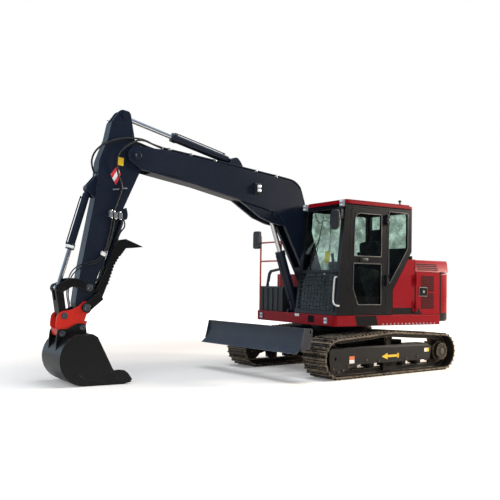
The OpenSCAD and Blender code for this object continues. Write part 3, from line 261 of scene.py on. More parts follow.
def paint(name, colour, roughness=0.4, metallic=0.0, grain=0.12, dust=0.2, reach=1.2, wear_and_glint=0.0,
          edge=0.012, bare_and_glint_colour=(0.3, 0.27, 0.23), coat=0.0, bump=0.05, bump_scale=60.0,
          dust_colour=(0.30, 0.25, 0.19), specular=0.5, soften=0.0):
    """Colour through grain, rubbed edges and painted edge highlight, and dust, with a fine bump on
    a softened normal.
    """
    material, tree = new_material(name)
    shader = tree.nodes["Principled BSDF"].inputs
    grained = use_group(tree, GRAIN, Base=(*colour, 1), Strength=grain, Scale=38.0).outputs
    out = grained["Color"]
    if wear_and_glint > 0:
        mask = edge_mask(tree, edge)
        worn_and_glint = use_group(tree, WEAR_AND_GLINT, Base=out, Metal=(*bare_and_glint_colour, 1), Edge=mask, Amount=wear_and_glint)
        out = worn_and_glint.outputs["Color"]
    dusty = use_group(tree, DUST, Base=out, Dust=(*dust_colour, 1), Amount=dust,
                      Reach=reach).outputs
    spread = plus(roughness, times(dusty["Cover"], 0.45), clamp=True)
    uneven = times(math_node("SUBTRACT", grained["Value"], 0.5), 0.25)
    fine = make(tree, "Bump")
    for label, value in (("Strength", bump), ("Distance", 0.002),
                         ("Height", noise(tree, bump_scale, 3.0))):
        feed(fine.inputs[label], value)
    if soften > 0:
        feed(fine.inputs["Normal"], make(tree, "Bevel", soften, samples=8).outputs[0])
    for label, value in (("Base Color", dusty["Color"]), ("Metallic", metallic),
                         ("Roughness", plus(spread, uneven, clamp=True)),
                         ("Specular IOR Level", specular), ("Coat Weight", coat),
                         ("Coat Roughness", 0.08), ("Normal", fine.outputs[0])):
        feed(shader[label], value)
    return material


def recolour(material, factor, first, second):
    """Feed a paint's grain with two colours, mixed by a factor."""
    tree = material.node_tree
    grained = next(n for n in tree.nodes if n.type == "GROUP" and n.node_tree == GRAIN)
    mixed = mix_colour(factor, (*first, 1), (*second, 1))
    feed(grained.inputs["Base"], mixed)


print("paint function ready")

# %% Paints, metals and rubber
BODY_RED = (0.245, 0.0028, 0.0085)
RED_LOOK = dict(roughness=0.34, coat=0.08, grain=0.05, dust=0.015, bump=0.01, specular=0.14)
RED = paint("body_red", BODY_RED, **RED_LOOK)
# Painted highlight: on the navy and black paints the pale edge colour draws thin lines along edges,
# partly rubbed paint, partly painted highlight.
NAVY = paint("boom_navy", (0.0054, 0.0092, 0.0195), 0.36, coat=0.08, grain=0.2, dust=0.006,
             bump=0.02, specular=0.28, wear_and_glint=0.7, edge=0.005, bare_and_glint_colour=(0.10, 0.125, 0.16))
BLACK = paint("cab_black", (0.0042, 0.0046, 0.0062), 0.34, coat=0.06, grain=0.15, dust=0.01,
              bump=0.02, specular=0.22, wear_and_glint=0.6, edge=0.005, bare_and_glint_colour=(0.13, 0.125, 0.12))
FRAME = paint("frame_brown", (0.0075, 0.0072, 0.0075), 0.55, grain=0.35, dust=0.09, reach=0.7,
              wear_and_glint=0.5, bump=0.12, specular=0.22, bare_and_glint_colour=(0.16, 0.12, 0.09),
              dust_colour=(0.13, 0.10, 0.075))
# The tan edge colour of the track is partly rubbed steel on the grousers, partly a painted warm
# highlight.
TRACK = paint("track_steel", (0.010, 0.0092, 0.0088), 0.50, metallic=0.1, grain=0.4, dust=0.14,
              reach=0.7, wear_and_glint=2.4, bare_and_glint_colour=(0.60, 0.46, 0.31), bump=0.25, specular=0.3,
              dust_colour=(0.16, 0.122, 0.085))
BLADE = paint("blade_blue", (0.016, 0.020, 0.030), 0.40, grain=0.3, dust=0.16, reach=0.9,
              wear_and_glint=0.6, bare_and_glint_colour=(0.26, 0.24, 0.23), specular=0.4, dust_colour=(0.16, 0.14, 0.12))
HITCH = paint("hitch_red", (0.60, 0.020, 0.010), 0.36, coat=0.15, dust=0.02, wear_and_glint=0.35,
              edge=0.006, specular=0.22)
BUCKET = paint("bucket_black", (0.0040, 0.0040, 0.0047), 0.33, grain=0.25, dust=0.02, reach=0.3,
               wear_and_glint=0.5, specular=0.26, bare_and_glint_colour=(0.16, 0.13, 0.10))
RAIL = paint("rail_red", (0.40, 0.03, 0.016), 0.35, coat=0.3)
PLASTIC = paint("dark_plastic", (0.016, 0.0165, 0.018), 0.55, grain=0.2, bump=0.25,
                bump_scale=220.0)
ENGINE = paint("engine_iron", (0.10, 0.10, 0.105), 0.6, metallic=0.4, grain=0.3)
FABRIC = paint("seat_cloth", (0.020, 0.022, 0.030), 0.9, grain=0.3, bump=0.6, bump_scale=420.0,
               dust=0.05)
RUBBER = paint("hose_rubber", (0.012, 0.012, 0.0125), 0.55, grain=0.2, bump=0.15, dust=0.05)
STEEL = paint("bare_steel", (0.52, 0.54, 0.55), 0.32, metallic=0.9, grain=0.25, dust=0.05)
CHROME = paint("chrome_rod", (0.68, 0.69, 0.71), 0.14, metallic=1.0, grain=0.05, dust=0.0,
               bump=0.0, soften=0.012)
LENS = paint("lamp_lens", (0.30, 0.31, 0.33), 0.12, coat=0.6, grain=0.1, dust=0.0)
MIRROR = paint("mirror_face", (0.5, 0.52, 0.55), 0.04, metallic=1.0, grain=0.02, dust=0.0)
print(len(bpy.data.materials), "materials")

# %% [markdown]
# ## Glass
# The cab has thin tinted panes. A refracting shader would bend light twice and darken the cab.
# A see-through shader, with a reflection that grows at grazing angles, is clearer and faster.

# %% Cab glass


def make_glass(name, tint, shade=0.72):
    """Thin glass: clear, its tint patchy as a painted reflection, mirrored by Fresnel on its outer
    faces only.
    """
    material, tree = new_material(name)
    tree.nodes.remove(tree.nodes["Principled BSDF"])
    # Painted reflection: noise darkens the tint in patches, standing in for leaves mirrored in the
    # glass.
    cloud = ramp(noise(tree, 5.5, 9.0, 0.68), 0.40, 0.60)
    tint_and_reflection = mix_colour(cloud, (*tint, 1), tuple(shade * c for c in tint) + (1,))
    clear = make(tree, "BsdfTransparent", tint_and_reflection)
    gloss = make(tree, "BsdfGlossy")
    gloss.inputs["Roughness"].default_value = 0.03
    fresnel = make(tree, "Fresnel", 1.5).outputs[0]
    inside = make(tree, "NewGeometry").outputs["Backfacing"]
    mirrored = times(fresnel, math_node("SUBTRACT", 1.0, inside))
    pane = mix_shader(mirrored, clear.outputs[0], gloss.outputs[0])
    feed(tree.nodes["Material Output"].inputs["Surface"], pane)
    return material


GLASS = make_glass("cab_glass_tint", (0.82, 0.90, 0.86))
print("glass:", GLASS.name)

# %% [markdown]
# ## Dress the solid nodes
# Rolled sheet and castings have rounded edges that catch a line of light. The edges could be
# modelled, but the solid nodes stay as they are. So each node gets the material of its slot, and
# modifiers weld its corners and bevel its edges. Only the thumb's chrome rod takes the black
# paint instead, as painted shade.

# %% Materials and soft edges of the solid nodes
BY_SLOT = dict(
    track_steel=TRACK, frame_paint=FRAME, blade_paint=BLADE, body_red=RED, cab_black=BLACK,
    boom_paint=NAVY, chrome_rod=CHROME, hitch_red=HITCH, bucket_paint=BUCKET, rail_red=RAIL,
    glass=GLASS, seat_fabric=FABRIC, dark_plastic=PLASTIC, lamp_lens=LENS, engine_iron=ENGINE)
# Painted shade: the thumb's rod is chrome, but it takes the black paint, dark as it lies in shadow.
PAINTED_SHADE_FINISH = dict(thumb_rod=BLACK)
SOFT_EDGE = dict(body_red=0.006, cab_black=0.005, boom_paint=0.005, hitch_red=0.004,
                 bucket_paint=0.004, blade_paint=0.004, frame_paint=0.004, dark_plastic=0.006)
WIDE_EDGE = dict(hood=0.028, quick_hitch=0.008, rocker_links=0.007, cab_roof=0.016)
for row in frame["record"]["subparts"]:
    node = nodes[row["node"]]
    node.data.materials.clear()
    node.data.materials.append(PAINTED_SHADE_FINISH.get(row["node"], BY_SLOT[row["material_slot"]]))
    width = WIDE_EDGE.get(row["node"], SOFT_EDGE.get(row["material_slot"]))
    if width:
        weld = node.modifiers.new("weld", "WELD")
        weld.merge_threshold = 0.00005
        bevel = node.modifiers.new("bevel", "BEVEL")
        bevel.width, bevel.segments = width, 3
        bevel.limit_method, bevel.angle_limit = "ANGLE", np.radians(40)
        bevel.use_clamp_overlap = True
        shade = node.modifiers.new("shade", "WEIGHTED_NORMAL")
        shade.mode, shade.weight, shade.keep_sharp = "FACE_AREA", 50, False
print("dressed", len(nodes), "nodes")

# %% [markdown]
# ## Pieces from grids of points
# A new piece could be pulled from a cube by hand. Here it is a grid of points P[i, j] from a
# formula, so that its size can be read and changed. Neighbouring points make quads, all at once,
# from shifted index arrays. The upper structure stands turned by 6 degrees on its bearing: its
# pieces are written as if it stood straight, and one rotation about Z brings them into place.

# %% Grid surfaces
SLEW = np.radians(-6.0)
TURN = np.array([[np.cos(SLEW), -np.sin(SLEW), 0], [np.sin(SLEW), np.cos(SLEW), 0], [0, 0, 1]])


def turned(points):
    """Points of the upper structure's own frame, turned about Z by the slew angle."""
    return np.asarray(points, float) @ TURN.T


def grid_faces(n, m, closed=False):
    """Quads (i, j), (i+1, j), (i+1, j+1), (i, j+1) of an n by m grid, as an index array."""
    a, b = np.meshgrid(np.arange(n - 1), np.arange(m if closed else m - 1), indexing="ij")
    d = (b + 1) % m
    return np.stack([a * m + b, a * m + m + b, a * m + m + d, a * m + d], -1).reshape(-1, 4)


def piece(name, points, faces, body, material, smooth=True):
    """A mesh from an array of points and an array of quads, riding on a body."""
    mesh = bpy.data.meshes.new(name)
    mesh.from_pydata(points.reshape(-1, 3).tolist(), [], faces.tolist())
    mesh.polygons.foreach_set("use_smooth", np.full(len(faces), smooth))
    mesh.update()
    mesh.validate()
    obj = bpy.data.objects.new(name, mesh)
    scene.collection.objects.link(obj)
    mesh.materials.append(material)
    if body:
        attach(obj, body)
    return obj


def stacked(grids):
    """Closed grids of one size, shape (k, n, m, 3), as points and faces of one mesh."""
    k, n, m = grids.shape[:3]
    starts = np.arange(k)[:, None, None] * n * m
    return grids.reshape(-1, 3), (starts + grid_faces(n, m, True)).reshape(-1, 4)


def add(name, grids, body, material, smooth=True, local=True):
    """One piece from grids that close around; local ones turn with the upper structure."""
    points, faces, start = [], [], 0
    for g in grids:
        p, f = stacked(g.reshape((-1,) + g.shape[-3:]))
        points.append(p)
        faces.append(f + start)
        start += len(p)
    points = np.concatenate(points)
    points = turned(points) if local else points
    return piece(name, points, np.concatenate(faces), body, material, smooth)


print("slew angle", np.degrees(SLEW))

# %% [markdown]
# ## Tubes, turned forms and plates
# Three kinds of surface make nearly all the small pieces. A tube is a circle carried along a
# smooth curve. A turned form is a profile spun about an axis. A plate is an outline lifted off
# a face, with its rim pulled in. Few kinds keep the lesson short and the meshes regular.

# %% Curves and tubes
LEFT, RIGHT, FRONT, BACK, TOP = (0, 1, 0), (0, -1, 0), (1, 0, 0), (-1, 0, 0), (0, 0, 1)


def spline(points, n=64):
    """A smooth curve through points: cubics whose slopes are half the step between neighbours."""
    p = np.asarray(points, float)
    p = np.vstack([2 * p[0] - p[1], p, 2 * p[-1] - p[-2]])
    t = np.linspace(0, len(p) - 3 - 1e-9, n)
    i = t.astype(int)
    f = (t - i)[:, None]
    a, b, c, d = p[i], p[i + 1], p[i + 2], p[i + 3]
    square, cube = 2 * a - 5 * b + 4 * c - d, 3 * b - a - 3 * c + d
    return 0.5 * (2 * b + (c - a) * f + square * f**2 + cube * f**3)


def unit(vectors):
    """Vectors divided by their lengths."""
    vectors = np.asarray(vectors, float)
    return vectors / np.linalg.norm(vectors, axis=-1, keepdims=True)


def round_angles(sides):
    """Angles v once around, shaped to spread over a grid."""
    return np.linspace(0, 2 * np.pi, sides, endpoint=False)[None, :, None]


def tube(path, radius, sides=12, aside=LEFT):
    """Circle carried along a path: centre + r (cos v * side + sin v * up), closed at the ends."""
    along = unit(np.gradient(path, axis=0))
    side = unit(np.cross(along, np.asarray(aside, float)))
    up = np.cross(along, side)
    v = round_angles(sides)
    ring = path[:, None] + radius * (np.cos(v) * side[:, None] + np.sin(v) * up[:, None])
    ends = np.broadcast_to(path[[0, -1], None], (2, sides, 3))
    return np.concatenate([ends[:1], ring, ends[1:]])


def tubes(runs, n, radius, sides=12, aside=LEFT):
    """A tube along a smooth curve of n points through each run."""
    return [tube(spline(run, n), radius, sides, aside) for run in runs]


def in_lane(line, y):
    """A line of the (x, z) plane, set at one y."""
    line = np.asarray(line, float)
    return np.stack([line[:, 0], np.full(len(line), y), line[:, 1]], -1)


print("tubes ready")

# %% Turned forms and plates
NUT = np.array([(0, 0), (0.5, 0), (0.5, 0.34), (0.42, 0.42), (0, 0.42)])


def turned_form(profile, places, axis, sides=16):
    """Profile (radius, height) spun about an axis at each place: r (cos v ex + sin v ey) + h ez."""
    ez = unit(axis)
    ex = unit(np.cross(TOP if abs(ez[2]) < 0.9 else FRONT, ez))
    ey = np.cross(ez, ex)
    r, h = np.asarray(profile, float).T[:, :, None, None]
    v = round_angles(sides)
    form = r * (np.cos(v) * ex + np.sin(v) * ey) + h * ez
    return np.asarray(places, float).reshape(-1, 1, 1, 3) + form


def plate(outline, place, ex, ey, thick):
    """Outline (x, y) on the plane of ex and ey, lifted: foot, wall, pulled-in rim, middle."""
    o = np.asarray(outline, float)
    middle = o.mean(0)
    ex, ey = unit(ex), unit(ey)
    inset = 1 - min(0.3, 0.35 * thick / np.abs(o - middle).max())
    scale = np.array([0.0, 1.0, 1.0, inset, 0.0])[:, None, None]
    lift = np.array([0.0, 0.0, 0.7, 1.0, 1.0])[:, None, None] * thick
    flat = middle + scale * (o - middle)
    foot = np.asarray(place, float) + flat[..., :1] * ex + flat[..., 1:] * ey
    return foot + lift * np.cross(ex, ey)


def box_outline(w, h, r=0.0):
    """A w by h rectangle about zero whose corners are quarter circles of radius r."""
    q = np.linspace(0, np.pi / 2, 4) if r > 0 else np.array([0.0])
    turn = (q + np.arange(4)[:, None] * np.pi / 2).ravel()
    sx = np.repeat([1, -1, -1, 1], len(q)) * (w / 2 - r)
    sy = np.repeat([1, 1, -1, -1], len(q)) * (h / 2 - r)
    return np.stack([sx + r * np.cos(turn), sy + r * np.sin(turn)], -1)


def block(size, place, ex, thick, ey=TOP):
    """A plate whose outline is a box of size (width, height, corner radius)."""
    return plate(box_outline(*size), place, ex, ey, thick)


print("turned forms and plates ready")

# %% [markdown]
# ## Pipes of the boom
# Steel pipes carry oil along the boom's back and top, on both edges, under clamps. Straight
# pieces with elbows would do. One smooth curve in four lanes has no seams to hide.

# %% Boom pipes
PIPE_R = 0.0115
LANES = np.array([0.015, -0.017, -0.183, -0.215])
BOOM_LINE = [(0.425, 1.47), (0.50, 1.70), (0.62, 2.06), (0.815, 2.66), (0.872, 2.775),
             (0.965, 2.842), (1.10, 2.872), (1.50, 2.918), (2.03, 2.977), (2.60, 3.036),
             (3.16, 3.093)]
add("boom_pipes", tubes([in_lane(BOOM_LINE, y) for y in LANES], 120, PIPE_R, 10), "boom", NAVY)
CLAMP, CLAMP_IN, CLAMP_THICK, CLAMP_LANES = (0.045, 0.070, 0.006), 0.016, 0.033, (-0.001, -0.199)
STATIONS = [(0.56, 1.88, 0.31, 0.95), (0.72, 2.37, 0.31, 0.95), (1.30, 2.895, 0.993, 0.115),
            (1.66, 2.936, 0.993, 0.115), (2.34, 3.010, 0.995, 0.1), (2.72, 3.049, 0.995, 0.1),
            (3.05, 3.083, 0.995, 0.1)]
clamps = [block(CLAMP, (x + CLAMP_IN * tz, y, z - CLAMP_IN * tx), (tx, 0, tz), CLAMP_THICK, LEFT)
          for x, z, tx, tz in STATIONS for y in CLAMP_LANES]
add("boom_clamps", clamps, "boom", STEEL, smooth=False)
pipe_nuts = turned_form(NUT * 0.036, [(3.14, y, 3.091) for y in LANES], (0.995, 0, 0.1), 6)
add("boom_pipe_nuts", [pipe_nuts], "boom", STEEL, smooth=False)
print("boom pipes in", len(LANES), "lanes")

# %% [markdown]
# ## Hoses across the joints
# At each joint a rubber hose takes over from the pipes and bends with it. It could be simulated.
# A drawn curve is steadier. Here each hose is one fixed piece that rides on no body.

# %% Hoses over the nose, at the foot and down to the hitch
HOSE_R, HITCH_HOSE_R = 0.0125, 0.008


def joined(name, grids):
    """Hoses drawn across a joint, as one fixed piece that rides on no body."""
    obj = add(name, grids, None, RUBBER)
    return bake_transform(obj)


OVER_NOSE = [
    [(3.15, 0.015, 3.092), (3.28, 0.020, 3.118), (3.42, 0.030, 3.150), (3.54, 0.045, 3.130),
     (3.704, 0.052, 3.018), (3.790, 0.050, 2.889), (3.777, 0.036, 2.697), (3.722, 0.024, 2.559),
     (3.717, 0.022, 2.468), (3.767, 0.024, 2.308), (3.815, 0.030, 2.185)],
    [(3.15, -0.017, 3.092), (3.28, -0.005, 3.125), (3.42, 0.012, 3.165), (3.58, 0.026, 3.165),
     (3.76, 0.034, 3.135), (3.89, 0.030, 3.085), (3.995, 0.005, 3.020), (4.070, -0.025, 2.930),
     (4.096, -0.055, 2.830), (4.078, -0.080, 2.745), (4.052, -0.095, 2.690),
     (4.020, -0.100, 2.655)],
    [(3.15, -0.183, 3.092), (3.28, -0.195, 3.125), (3.42, -0.212, 3.165), (3.58, -0.226, 3.165),
     (3.74, -0.232, 3.12), (3.87, -0.226, 3.02), (3.93, -0.216, 2.90), (3.93, -0.213, 2.76),
     (3.90, -0.213, 2.62), (3.87, -0.213, 2.50)],
    [(3.15, -0.215, 3.092), (3.28, -0.225, 3.118), (3.42, -0.240, 3.150), (3.54, -0.252, 3.130),
     (3.704, -0.250, 3.018), (3.790, -0.244, 2.889), (3.777, -0.230, 2.697),
     (3.722, -0.222, 2.559), (3.720, -0.213, 2.468), (3.75, -0.213, 2.36)]]
joined("nose_hoses", tubes(OVER_NOSE, 90, HOSE_R))
FOOT_LINE = [(0.425, 1.475), (0.392, 1.37), (0.31, 1.298), (0.19, 1.283), (0.08, 1.275),
             (0.025, 1.235)]
joined("foot_hoses", tubes([in_lane(FOOT_LINE, y) for y in LANES], 40, HOSE_R))
HITCH_RUNS = [
    [(3.950, 0.020, 1.650), (4.010, 0.026, 1.560), (4.110, 0.024, 1.520), (4.210, -0.020, 1.490),
     (4.300, -0.050, 1.420), (4.352, -0.056, 1.310), (4.370, -0.058, 1.130),
     (4.350, -0.060, 1.000), (4.330, -0.066, 0.900)],
    [(3.930, 0.020, 1.650), (3.985, 0.022, 1.545), (4.090, 0.022, 1.498), (4.190, -0.020, 1.470),
     (4.280, -0.062, 1.385), (4.328, -0.072, 1.290), (4.345, -0.078, 1.130),
     (4.325, -0.082, 1.000), (4.305, -0.086, 0.900)]]
joined("hitch_hoses", tubes(HITCH_RUNS, 70, HITCH_HOSE_R, 10))
print("hoses across three joints")

# %% [markdown]
# ## Hoses and valve block of the arm
# A valve block on the arm's cab side feeds the hitch and the thumb. Every port could be drawn.
# At this distance blocks, nuts and the run of the hoses are what the eye reads.

# %% Arm: hoses, valve block and fittings
ARM_SIDE = 0.0
RUN_DOWN = [
    [(3.835, 0.022, 2.10), (3.848, 0.016, 1.98), (3.875, 0.014, 1.84), (3.905, 0.014, 1.72),
     (3.940, 0.018, 1.655)],
    [(3.800, 0.022, 2.10), (3.815, 0.016, 1.98), (3.845, 0.014, 1.84), (3.885, 0.014, 1.72),
     (3.925, 0.018, 1.655)],
    [(3.715, 0.030, 2.12), (3.672, 0.034, 2.06), (3.668, 0.030, 1.99), (3.715, 0.022, 1.92),
     (3.742, 0.014, 1.85), (3.748, 0.010, 1.80)]]
add("arm_hoses", tubes(RUN_DOWN, 40, 0.010, 10), "arm", RUBBER)
THUMB_LINE = [(3.840, 2.040), (3.800, 1.990), (3.783, 1.955), (3.805, 1.883), (3.832, 1.786),
              (3.860, 1.706), (3.889, 1.630), (3.922, 1.491), (3.952, 1.385), (3.975, 1.315),
              (4.030, 1.270)]
thumb_runs = [in_lane(THUMB_LINE, y) for y in (-0.035, -0.165)]
add("thumb_hoses", tubes(thumb_runs, 60, 0.014, 10), "arm", RUBBER)
blocks = [block((0.055, 0.075, 0.004), place, (-0.995, 0, -0.1), 0.048)
          for place in in_lane([(3.852, 2.148), (3.788, 2.140), (3.724, 2.133)], ARM_SIDE)]
blocks += [block((0.082, 0.020, 0.004), place, (-0.99, 0, 0.1), 0.030)
           for place in in_lane([(3.790, 2.473), (3.678, 2.495), (3.935, 1.655)], ARM_SIDE)]
add("arm_blocks", blocks, "arm", STEEL, smooth=False)
fittings = [
    turned_form(NUT * 0.040, [(3.852, 0.024, 2.186), (3.815, 0.026, 2.178),
                              (3.735, 0.026, 2.172)], TOP, 6),
    turned_form(NUT * 0.036, [(3.845, 0.022, 2.110), (3.790, 0.022, 2.100),
                              (3.722, 0.022, 2.096)], (0, 0, -1), 6),
    turned_form(NUT * 0.045, [(4.018, -0.1, 2.655), (4.030, -0.1, 2.33)], (0.97, 0, 0.2), 6)]
add("arm_fittings", fittings, "arm", STEEL, smooth=False)
print("arm hoses and blocks")

# %% [markdown]
# ## Blank labels
# Stickers on a machine are thin sheets of foil, here of one colour or of slanted bands. A
# sheet could be a painted patch of the arm's own material. A thin plate of its own is easier to
# find and to take off.

# %% Labels of the arm
LIFT, SHEET = 0.0003, 0.0012


def label_material(name, colour, second=None, period=0.1, lean=FRONT):
    """A printed sheet: one grained colour, or two colours in slanted bands."""
    material = paint(name, colour, 0.45, grain=0.05, dust=0.06, bump=0.0)
    if second:
        tree = material.node_tree
        phase = dot(coords(tree), tuple(np.array(lean) / period))
        band = math_node("GREATER_THAN", math_node("FRACT", phase), 0.5)
        recolour(material, band, colour, second)
    return material


YELLOW = label_material("label_yellow", (0.78, 0.50, 0.02))
WHITE = label_material("label_white", (0.75, 0.75, 0.73))
ORANGE = label_material("label_orange", (0.72, 0.16, 0.03))
BANDS = label_material("label_bands", (0.60, 0.03, 0.04), (0.78, 0.78, 0.76), 0.085, (0.86, 0, 0.5))


def label(name, corners, body, material):
    """A thin sheet between four corners, given around its rim as seen from outside."""
    c = np.asarray(corners, float)
    ex = unit(c[1] - c[0])
    ez = unit(np.cross(ex, c[3] - c[0]))
    ey = np.cross(ez, ex)
    flat = np.stack([(c - c[0]) @ ex, (c - c[0]) @ ey], -1)
    return add(name, [plate(flat, c[0], ex, ey, SHEET)], body, material, smooth=False)


label("arm_label", in_lane([(3.782, 2.797), (3.690, 2.788), (3.686, 2.894), (3.778, 2.900)], LIFT),
      "arm", YELLOW)
label("arm_bands", in_lane([(3.786, 2.531), (3.721, 2.681), (3.779, 2.779), (3.864, 2.660)], LIFT),
      "arm", BANDS)
print("arm labels")

# %% [markdown]
# ## Weld seams and pin caps
# Plates of the boom and arm meet in fillet seams, and pins end in round caps with a dished
# middle. A bump could fake both. A thin tube half sunk in the plate, and a turned cap, also show
# on the outline.

# %% Seams and caps
SEAM_R, BOOM_FACE = 0.0045, 0.0345
SEAMS = [[(3.135, 2.776), (3.118, 2.994)], [(3.135, 2.776), (2.452, 2.590)],
         [(2.452, 2.590), (1.32, 2.36)]]
add("boom_seams", tubes([in_lane(s, BOOM_FACE) for s in SEAMS], 12, SEAM_R, 8), "boom", NAVY)
arm_seam = in_lane([(3.930, 3.352), (3.71, 3.352), (3.61, 3.30), (3.575, 3.18)], -0.0005)
add("arm_seams", tubes([arm_seam], 24, SEAM_R, 8), "arm", NAVY)
CAP = np.array([(0, 0), (1, 0), (1, 0.12), (0.9, 0.2), (0.35, 0.2), (0.3, 0.14), (0, 0.14)])
BOOM_Y = -0.10


def caps_on(name, body, material, *pins):
    """Round caps on both ends of pins (x, z, half width, radius) about the boom's plane."""
    add(name, [turned_form(CAP * radius, [(x, BOOM_Y + s * half, z)], (0, s, 0), 24)
               for x, z, half, radius in pins for s in (1, -1)], body, material)


NOSE = np.array([3.517, 2.942])
caps_on("boom_caps", "boom", NAVY, (*NOSE, 0.1461, 0.062))
print("seams and caps")

# %% [markdown]
# ## Seat
# A cushion is foam under a sewn cover. Cloth could be simulated over it. Behind glass a rounded
# box is enough: each coordinate is a cosine or sine raised to a small power, so its faces are
# nearly flat and crowned, and sewn channels press into its top.

# %% Seat


def bent(wave, power):
    """A wave raised to a power, with its sign kept."""
    return np.sign(wave) * np.abs(wave) ** power


def cushion(centre, half, lean=0.0, power=0.42, channels=(), n=40, m=64):
    """half * (cos u cos v, cos u sin v, sin u), each to a power, with channels pressed in."""
    u = np.linspace(-np.pi / 2, np.pi / 2, n)[:, None]
    v = np.linspace(0, 2 * np.pi, m, endpoint=False)[None]
    x = bent(np.cos(u), power) * bent(np.cos(v), power)
    y = bent(np.cos(u), power) * bent(np.sin(v), power)
    z = bent(np.sin(u), power) + 0 * v
    pinch = 1 - 0.05 * np.cos(2 * v) ** 2 * np.cos(u) ** 2
    press = sum((np.exp(-(((y - c) * half[1]) / 0.010) ** 2) for c in channels), np.zeros_like(y))
    crown = 1 + 0.10 * (1 - x**2) * (1 - y**2) - 0.16 * press * (z > 0)
    p = np.stack([x * half[0] * pinch, y * half[1] * pinch, z * half[2] * crown], -1)
    c, s = np.cos(lean), np.sin(lean)
    return np.asarray(centre) + p @ np.array([[c, 0, s], [0, 1, 0], [-s, 0, c]])


MID = 0.555
seat_forms = [
    cushion((0.150, MID, 1.392), (0.240, 0.232, 0.058), 0.04, channels=(-0.55, 0.55)),
    cushion((-0.130, MID, 1.690), (0.285, 0.225, 0.056), 1.36, channels=(-0.6, 0.6)),
    cushion((-0.232, MID, 2.045), (0.105, 0.125, 0.042), 1.42)]
seat_pads = add("seat_pads", seat_forms, "upper", FABRIC)
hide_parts("seat")
pedestal = [block((0.28, 0.30, 0.03), (0.125, MID, 0.9135), FRONT, 0.17, LEFT),
            block((0.22, 0.26, 0.05), (0.125, MID, 1.083), FRONT, 0.20, LEFT),
            block((0.40, 0.38, 0.03), (0.130, MID, 1.283), FRONT, 0.055, LEFT)]
add("seat_base", pedestal, "upper", PLASTIC)
print("seat with", len(seat_pads.data.polygons), "faces")

# %% [markdown]
# ## Levers, rails and wiper
# Two levers with boots stand beside the seat, a screen and a wiper at the front window. A pale
# rail bends round the window inside, and a handle stands at the door. Lathe profiles and tubes
# give their round forms directly.

# %% Levers, screen and rails
LEVER_Y, LEVER_LEAN = MID + np.array([-0.305, 0.305]), (0.164, 0, 0.986)
grip = [(0, -0.055), (0.017, -0.05), (0.019, -0.02), (0.022, 0.02), (0.027, 0.045),
        (0.020, 0.062), (0, 0.066)]
boot = [(0.062, 0), (0.055, 0.012), (0.05, 0.012), (0.044, 0.03), (0.038, 0.03), (0.03, 0.05),
        (0.022, 0.055), (0, 0.055)]
levers = [turned_form(grip, [(0.392, y, 1.705) for y in LEVER_Y], LEVER_LEAN),
          turned_form(boot, [(0.362, y, 1.505) for y in LEVER_Y], LEVER_LEAN, 24),
          block((0.16, 0.20, 0.02), (0.690, 0.205, 1.62), LEFT, 0.035)]
add("cab_controls", levers, "upper", PLASTIC)
SILL_X, SILL_Z, SLOPE = 0.955, 0.868, 0.105


def on_front(rows, depth):
    """Points (y, z) of the cab's sloping front: x = sill - slope * height - depth."""
    y, z = np.asarray(rows, float).T
    return np.stack([SILL_X - (z - SILL_Z) * SLOPE - depth, y, z], -1)


PALE = paint("rail_pale", (0.62, 0.60, 0.56), 0.3, grain=0.08, dust=0.05)
rail = on_front([(0.25, 2.350), (0.37, 2.206), (0.508, 2.229), (0.634, 2.177), (0.671, 2.053),
                 (0.685, 1.787), (0.690, 1.500)], 0.060)
add("cab_rail", tubes([rail], 60, 0.011, 10, FRONT), "upper", PALE)
handle = [(0.895, 0.985, 1.400), (0.938, 0.986, 1.390), (0.952, 0.988, 1.300),
          (0.970, 0.995, 1.110), (0.977, 1.012, 1.035), (0.958, 1.050, 1.004),
          (0.920, 1.052, 1.000), (0.900, 1.030, 1.000)]
add("cab_handle", tubes([handle], 50, 0.012, 12, (0.6, 0.8, 0.1)), "upper", PALE)
wiper_arm = on_front([(0.300, 1.515), (0.330, 1.60), (0.410, 1.80), (0.500, 2.02)], 0.010)
wiper_blade = on_front([(0.445, 1.72), (0.470, 1.90), (0.500, 2.10), (0.530, 2.28)], 0.014)
wiper_foot = turned_form(NUT * 0.05, on_front([(0.300, 1.515)], 0.018), FRONT, 16)
add("wiper", tubes([wiper_arm], 20, 0.006, 8, FRONT) + tubes([wiper_blade], 20, 0.005, 8, FRONT)
    + [wiper_foot], "upper", RUBBER)
label("screen_label", on_front([(0.625, 1.60), (0.745, 1.60), (0.745, 1.775), (0.625, 1.775)],
                               0.031), "upper", YELLOW)
print("cab fitted")

# %% [markdown]
# ## Window seals
# Rubber seals hold the panes, and the door has a pull. A seal could be an inset of the pane. A
# tube that closes on itself along a rounded outline keeps its round section in the corners.

# %% Seals and door pull
SEAL_Y = 1.0285


def eased(before, corner, after, n):
    """A quadratic curve from before to after that bends towards the corner."""
    t = np.linspace(0, 1, n)[:, None]
    before, corner, after = (np.asarray(p, float)[..., None, :] for p in (before, corner, after))
    return (1 - t) ** 2 * before + 2 * t * (1 - t) * corner + t**2 * after


def seal(corners, y, radius=0.007):
    """A tube closed on itself along an outline whose corners (x, z, radius) are eased."""
    c = np.asarray(corners, float)
    p, r = c[:, :2], c[:, 2:]
    before, after = unit(np.roll(p, 1, 0) - p), unit(np.roll(p, -1, 0) - p)
    path = in_lane(eased(p + before * r, p, p + after * r, 12).reshape(-1, 2), y)
    along = unit(np.roll(path, -1, 0) - np.roll(path, 1, 0))
    side = np.cross(along, LEFT)
    v = round_angles(8)
    ring = path[:, None] + radius * (np.cos(v) * side[:, None] + np.sin(v) * np.array(LEFT))
    return np.concatenate([ring, ring[:1]])


